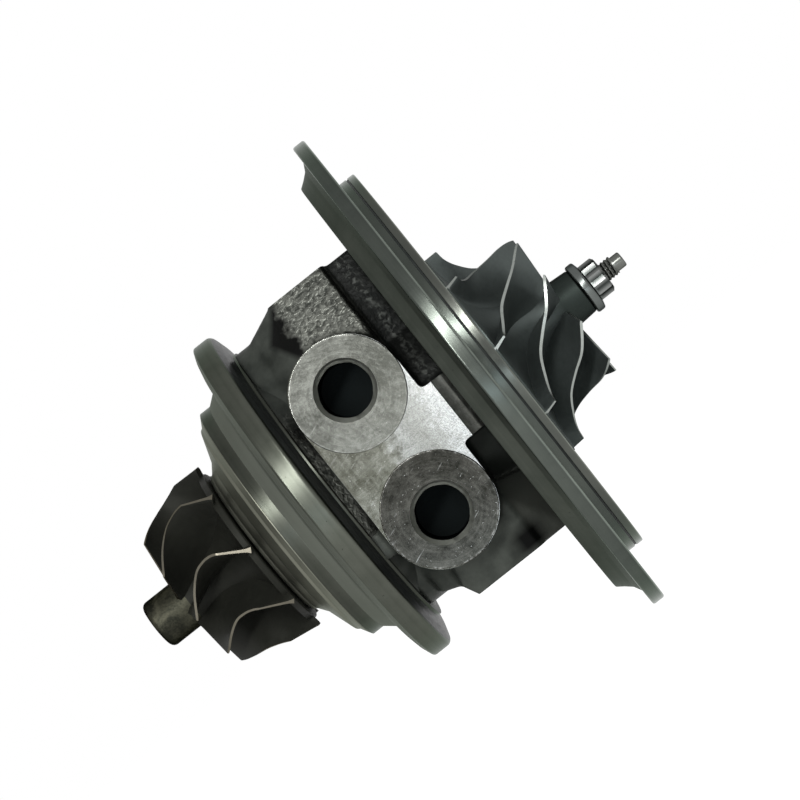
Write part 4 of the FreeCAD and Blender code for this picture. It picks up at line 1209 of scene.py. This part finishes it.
def cast_body():
    """Cast body between the flanges: blocks grown together with soft edges, then machined."""
    body = join("cast_body", casting_blocks())
    grown = body.modifiers.new("grow_together", "REMESH")
    grown.mode = "VOXEL"
    grown.voxel_size = CAST_GRAIN * MM
    soft = body.modifiers.new("soften", "SMOOTH")
    soft.factor = 0.5
    soft.iterations = 7
    bake_modifiers(body)
    cut_flat(body, (0, -PAD_PLANE, 0), (0, -1, 0))
    cut_flat(body, (0, 0, INLET_TOP), (0, 0, 1))
    cut_flat(body, (0, 0, -DRAIN_FACE), (0, 0, -1))
    carve(body, join("cutters", casting_cutters()))

    def skin(centre, normal):
        port = min((centre.xz - Vector((BOSS_X, z))).length for z in PORT_HEIGHTS)
        if port < PORT_RADIUS + 2 and centre.y < 1 - PORT_CUT and abs(normal.y) < 0.3:
            return 2
        if centre.y < 0.05 - PAD_PLANE:
            return 1
        in_step = centre.x > FLANGE_BACK - STEP_WIDTH - 0.1 and centre.y < 3.2 - PAD_PLANE
        if in_step and abs(centre.z - WEB_Z) < WEB_HALF:
            return 4
        return 3 if centre.z > INLET_TOP - 0.05 or centre.z < 0.05 - DRAIN_FACE else 0

    return paint(smooth(body, angle=40), [CAST_IRON, WEB_FACE, BORE_IRON, PAD_FACE, SCOOP_FACE], skin)


def port_boss(index):
    """Machined coolant boss with its chamfered, threaded port, which sits a little off the boss's centre."""
    port = (BOSS_X, PORT_HEIGHTS[index])
    offset = PORT_HEIGHTS[index] - BOSS_HEIGHTS[index]
    bottom = BOSS_PLANE - PORT_DEPTH
    mouth = BOSS_PLANE - (PORT_MOUTH - PORT_RADIUS)
    start = bottom + THREAD_RUNOUT
    length = mouth - bottom - THREAD_RUNOUT
    steps = 8 * round(length / THREAD_PITCH)
    outer = PORT_RADIUS + 1.9
    points = [(bottom, 0), (bottom, PORT_RADIUS)]
    points += [(start + length * k / steps, PORT_RADIUS) for k in range(steps + 1)]
    points += [(BOSS_PLANE, PORT_MOUTH), (BOSS_PLANE, BOSS_RADIUS, 0.2), (PAD_PLANE - 0.5, BOSS_RADIUS),
               (PAD_PLANE - 0.5, outer), (bottom - 0.6, outer), (bottom - 0.6, 0)]

    def shape(along, radius, angle):
        if radius > outer + 1:
            return sqrt(radius ** 2 - (offset * cos(angle)) ** 2) - offset * sin(angle)
        if radius == PORT_RADIUS and start <= along < mouth:
            phase = (along / THREAD_PITCH + angle / (2 * pi)) % 1
            return radius + THREAD_DEPTH * (1 - abs(2 * phase - 1))
        return radius

    def skin(centre, normal):
        # The depths of the port get the near black painted shade
        if centre.y > 2.2 - BOSS_PLANE:
            return 2
        in_port = (centre.xz - Vector(port)).length < PORT_MOUTH
        return 1 if centre.y > 0.5 - BOSS_PLANE or in_port and abs(normal.y) < 0.9 else 0

    boss = turned("port_boss_" + str(index + 1), points, segments=128, centre=port, shape=shape)
    return paint(smooth(boss), [BOSS_FACES[index], BORE_IRON, PORT_SHADE], skin)


def screw_place(angle):
    """Move from the shaft's line out to the screw circle, at an angle round the shaft."""
    return Matrix.Rotation(angle, 4, "X") @ Matrix.Translation((0, 0, SCREW_CIRCLE * MM))


def screw_holes(outline):
    """Cutter with one turned hole for each screw of the back plate."""
    holes = []
    for k in range(SCREW_COUNT):
        hole = turned("hole", outline, TINY_RING)
        hole.data.transform(screw_place(SCREW_FIRST + 2 * pi * k / SCREW_COUNT))
        holes.append(hole)
    return join("holes", holes)


def back_plate():
    """Turned back plate with its countersunk screw holes."""
    plate = turned("seal_plate", [
        (PLATE_BACK, SEAL_BORE, 0.3), (PLATE_BACK, PLATE_POCKET, 0.4), (PLATE_SEAT, PLATE_POCKET),
        (PLATE_SEAT, PLATE_RADIUS, 0.08), (PLATE_FRONT, PLATE_RADIUS, 0.3), (PLATE_FRONT, SEAL_BORE, 0.3)],
        LARGE_RING)
    hole = SCREW_RADIUS + 0.05
    cone = SCREW_CONE - 0.05
    over = 0.4
    countersunk = [(PLATE_SEAT - 1, 0), (PLATE_SEAT - 1, hole), (PLATE_FRONT - cone, hole),
                   (PLATE_FRONT + over, hole + cone + over), (PLATE_FRONT + over, 0)]
    return dress(smooth(carve(plate, screw_holes(countersunk))), PLATE_IRON)


def plate_gasket():
    """Flat gasket between spigot and back plate, a little back from their edge, with holes for the screws."""
    inner = PLATE_POCKET + 0.1
    outer = PLATE_RADIUS - GASKET_INSET
    ring = turned("plate_gasket", [
        (SPIGOT_FRONT, inner), (SPIGOT_FRONT, outer), (PLATE_SEAT, outer), (PLATE_SEAT, inner)], LARGE_RING)
    plain = [(SPIGOT_FRONT - 1, 0), (SPIGOT_FRONT - 1, GASKET_HOLE),
             (PLATE_SEAT + 1, GASKET_HOLE), (PLATE_SEAT + 1, 0)]
    return dress(smooth(carve(ring, screw_holes(plain))), RUBBER)


def plate_screws():
    """Countersunk screws with a six-lobed recess, repeated round the back plate."""
    tail = PLATE_FRONT - SCREW_LENGTH
    head = PLATE_FRONT - 0.02
    recess = PLATE_FRONT - RECESS_DEPTH

    def lobes(along, radius, angle):
        return radius * (1 + 0.14 * cos(6 * angle)) if along > recess and radius < SCREW_RADIUS else radius

    screw = turned("plate_screws", [
        (tail, 0), (tail, SCREW_RADIUS, 0.3), (PLATE_FRONT - SCREW_CONE, SCREW_RADIUS),
        (PLATE_FRONT - 0.15, SCREW_HEAD), (head, SCREW_HEAD), (head, RECESS_RADIUS),
        (recess + 0.1, RECESS_RADIUS - 0.1), (recess, 0.5), (recess, 0)],
        segments=72, shape=lobes)
    smooth(screw)
    screw.data.transform(screw_place(0))
    return repeat_round(screw, SCREW_COUNT, SCREW_FIRST, DARK_SCREWS)


def heat_shield():
    """Domed sheet shell with a flat rim on the housing and a cup behind the turbine wheel."""
    t = SHIELD_SHEET
    bore_radius = COLLAR_RADIUS + 0.05
    slope = [(REGISTER_END - 1.3, SHIELD_RIM - 1.9, 0.3), (REGISTER_END - 1.9, SHIELD_RIM - 2.3, 0.4),
             (REGISTER_END - 4.0, 19.3, 1.0), (REGISTER_END - 5.6, SHIELD_CUP + 0.4, 0.6)]
    inner_slope = [(x + t, r - t, 0.3) for x, r, _ in reversed(slope[1:])]
    shield = turned("shield_dome", [
        (REGISTER_END, SHIELD_SEAT), (REGISTER_END, SHIELD_RIM), (REGISTER_END - 0.2, SHIELD_RIM),
        *slope,
        (SHIELD_FRONT, SHIELD_CUP, 0.3), (SHIELD_FRONT, bore_radius), (SHIELD_FRONT + t, bore_radius),
        (SHIELD_FRONT + t, SHIELD_CUP - t, 0.2),
        *inner_slope,
        (REGISTER_END - 0.7, SHIELD_SEAT, 0.2)], MEDIUM_RING)
    return dress(smooth(shield), SHIELD_STEEL)


# Rotor


def quarter(x, radius, length, drop, share):
    """Point on a quarter ellipse that leaves the tip radially and ends along the shaft."""
    turn = share * pi / 2
    return x + length * (1 - cos(turn)), radius - drop * sin(turn)


def compressor_curve(share):
    """Point on the compressor wheel's hub curve."""
    return quarter(COMPRESSOR_DISC, COMPRESSOR_TIP, COMPRESSOR_HUB, COMPRESSOR_DROP, share)


def turbine_curve(share):
    """Point on the turbine wheel's hub curve, which runs the other way along the shaft."""
    x, radius = quarter(TURBINE_DISC_EDGE - TURBINE_DISC, TURBINE_DISC_RADIUS, TURBINE_HUB,
                        TURBINE_DISC_RADIUS - TURBINE_NOSE_RADIUS, share)
    return -x, radius


def compressor_hub():
    """Hub of the compressor wheel with its thin disc."""
    curve = [compressor_curve(k / HUB_STEPS) for k in range(HUB_STEPS + 1)]
    hub = turned("compressor_hub", [
        (COMPRESSOR_BACK, STUD), (COMPRESSOR_BACK, COMPRESSOR_TIP, 0.1), *curve,
        (WHEEL_FRONT, COMPRESSOR_EYE, 0.4), (WHEEL_FRONT, STUD)])
    return dress(smooth(hub), HUB_ALUMINIUM)


def compressor_blades():
    """Blades that lean forward at the inlet and sweep back at the rim."""
    tip_x = COMPRESSOR_DISC + COMPRESSOR_TIP_WIDTH
    stations = []
    for hub_share, hub_angle, tip_share, tip_angle in COMPRESSOR_BLADE:
        hub_x, hub_r = compressor_curve(hub_share)
        shroud_x, shroud_r = quarter(tip_x, COMPRESSOR_TIP, SHROUD_LENGTH, SHROUD_DROP, tip_share)
        sunk = hub_r - BLADE_SINK * sin(hub_share * pi / 2)
        stations.append((hub_x - BLADE_SINK, sunk, hub_angle, shroud_x, shroud_r, tip_angle))
    eye = COMPRESSOR_TIP - COMPRESSOR_DROP - BLADE_SINK
    inlet_r = COMPRESSOR_TIP - SHROUD_DROP
    middle_x = (COMPRESSOR_INLET + tip_x + SHROUD_LENGTH) / 2
    stations.append((COMPRESSOR_DISC + COMPRESSOR_HUB * 0.87, eye, 1.5, middle_x, inlet_r, -2.5))
    stations.append((COMPRESSOR_INLET - 0.6, eye - 0.2, -15.0, COMPRESSOR_INLET, inlet_r, -20.0))
    one = smooth(blade("compressor_blades", stations, root=0.9, tip=0.58, fillet=0.5))
    return repeat_round(one, BLADE_COUNT, COMPRESSOR_TURN, WHEEL_ALUMINIUM, BLADE_EDGE)


def turbine_hub():
    """Hub of the turbine wheel with its disc and its nose."""
    curve = [turbine_curve(k / HUB_STEPS) for k in range(HUB_STEPS + 1)]
    hub = turned("turbine_hub", [
        (TURBINE_BACK, 0), (TURBINE_BACK, SHAFT_HUB), (TURBINE_DISC, SHAFT_HUB),
        (TURBINE_DISC, TURBINE_DISC_RADIUS, 0.4), *curve,
        (TURBINE_NOSE, TURBINE_NOSE_RADIUS, 1.2), (TURBINE_NOSE, 0)])
    return paint(smooth(hub), [TURBINE_ALLOY, NOSE_ALLOY], lambda centre, normal: centre.x < TURBINE_NOSE + 7)


def turbine_blades():
    """Cast blades that twist towards the exit."""
    stations = [(TURBINE_DISC - 0.3, TURBINE_TIP, -1.0, TURBINE_TIP_END, TURBINE_TIP, -11.5)]
    for hub_share, hub_angle, tip_share, tip_angle in TURBINE_BLADE:
        x, r = turbine_curve(hub_share)
        shroud_x = TURBINE_TIP_END + (TURBINE_EXIT - TURBINE_TIP_END) * tip_share
        shroud_r = TURBINE_TIP + (TURBINE_EXIT_RADIUS - TURBINE_TIP) * tip_share
        stations.append((x + BLADE_SINK, r - BLADE_SINK, hub_angle, shroud_x, shroud_r, tip_angle))
    stations.append((TURBINE_EXIT - 1.6, TURBINE_NOSE_RADIUS - BLADE_SINK, 24.0,
                     TURBINE_EXIT, TURBINE_EXIT_RADIUS, 14.5))
    one = smooth(blade("turbine_blades", stations, root=0.9, tip=0.5, fillet=0.4))
    return repeat_round(one, BLADE_COUNT, 0.0, TURBINE_ALLOY, TURBINE_EDGE)


def compressor_nut():
    """Twelve-point nut with a round flange."""
    flat = NUT_WIDTH / 2
    corner = flat / cos(pi / 6)

    def points_round(along, radius, angle):
        if along < NUT_FLANGE - 0.01 or radius < 3:
            return radius
        turns = [(angle - GRIP_ANGLE + shift) % (pi / 3) - pi / 6 for shift in (0, pi / 6)]
        return min(radius, max(flat / cos(turn) for turn in turns))

    nut = turned("flanged_nut", [
        (NUT_BACK, STUD_THREAD), (NUT_BACK, NUT_FLANGE_RADIUS, 0.5),
        (NUT_FLANGE - 0.4, NUT_FLANGE_RADIUS, 0.5), (NUT_FLANGE - 0.02, corner + 0.1, 0.2),
        (NUT_FLANGE, corner), (NUT_TOP - 0.45, corner), (NUT_TOP, corner - 0.65), (NUT_TOP, 3.2, 0.2),
        (NUT_TOP - 0.5, 2.6), (NUT_TOP - 0.5, STUD_THREAD)],
        segments=144, shape=points_round)
    return dress(smooth(nut, angle=22), NUT_STEEL)


def rotor_shaft():
    """Shaft with its hub, journals and the thread of the compressor nut."""
    ring_start, ring_end = span("turbine_seal_ring")
    shoulder = span("thrust_collar")[0]
    thread_start = NUT_BACK + 1
    thread_end = SHAFT_FRONT - 2.1
    length = thread_end - NUT_BACK - 1.3
    threads = [(thread_start + length * k / 100, STUD_THREAD) for k in range(101)]

    def thread(along, radius, angle):
        if radius != STUD_THREAD or not thread_start < along < thread_end - 0.2:
            return radius
        return radius - 0.15 - 0.3 * abs(2 * ((along / STUD_PITCH + angle / (2 * pi)) % 1) - 1)

    shaft = turned("threaded_shaft", [
        (TURBINE_BACK, 0), (TURBINE_BACK, SHAFT_HUB), (ring_start - 0.1, SHAFT_HUB),
        (ring_start - 0.1, RING_GROOVE), (ring_end + 0.1, RING_GROOVE), (ring_end + 0.1, SHAFT_HUB),
        (SHAFT_HUB_END, SHAFT_HUB, 0.3), (SHAFT_HUB_END + 0.4, SHAFT_STEP, 0.4),
        (SHAFT_STEP_END, SHAFT_STEP, 0.4), (SHAFT_STEP_END + 0.6, JOURNAL),
        (shoulder, JOURNAL), (shoulder, STUD), (NUT_BACK, STUD), (NUT_BACK, STUD_THREAD), *threads,
        (thread_end, 2.0), (thread_end, SHAFT_STUB), (SHAFT_FRONT, SHAFT_STUB, 0.35), (SHAFT_FRONT, 0)],
        SMALL_RING, shape=thread)
    return dress(smooth(shaft), END_STEEL)


# Assembly

for piece in (compressor_flange(), turbine_flange(), cast_body(), port_boss(0), port_boss(1)):
    replace(piece, "housing", "bearing_housing")
replace(back_plate(), "housing", "back_plate")
replace(plate_gasket(), "housing", "back_plate_gasket")
replace(plate_screws(), "housing", "back_plate_screws")
replace(heat_shield(), "housing", "heat_shield")
for piece in (compressor_hub(), compressor_blades()):
    replace(piece, "rotor", "compressor_wheel")
for piece in (turbine_hub(), turbine_blades()):
    replace(piece, "rotor", "turbine_wheel")
replace(compressor_nut(), "rotor", "compressor_nut")
replace(rotor_shaft(), "rotor", "rotor_shaft")

NODE_FINISHES = {
    "back_plate_gasket": RUBBER, "back_plate_o_ring": RUBBER, "thrust_bearing": BRONZE,
    "turbine_bearing": BRONZE, "compressor_bearing": BRONZE, "coolant_core_plug": PLUG_STEEL,
    "oil_gallery_plug": PLUG_STEEL, "bearing_housing": CAST_IRON}
for name, node in frame["nodes"].items():
    dress(node, NODE_FINISHES.get(name, BRIGHT_STEEL))
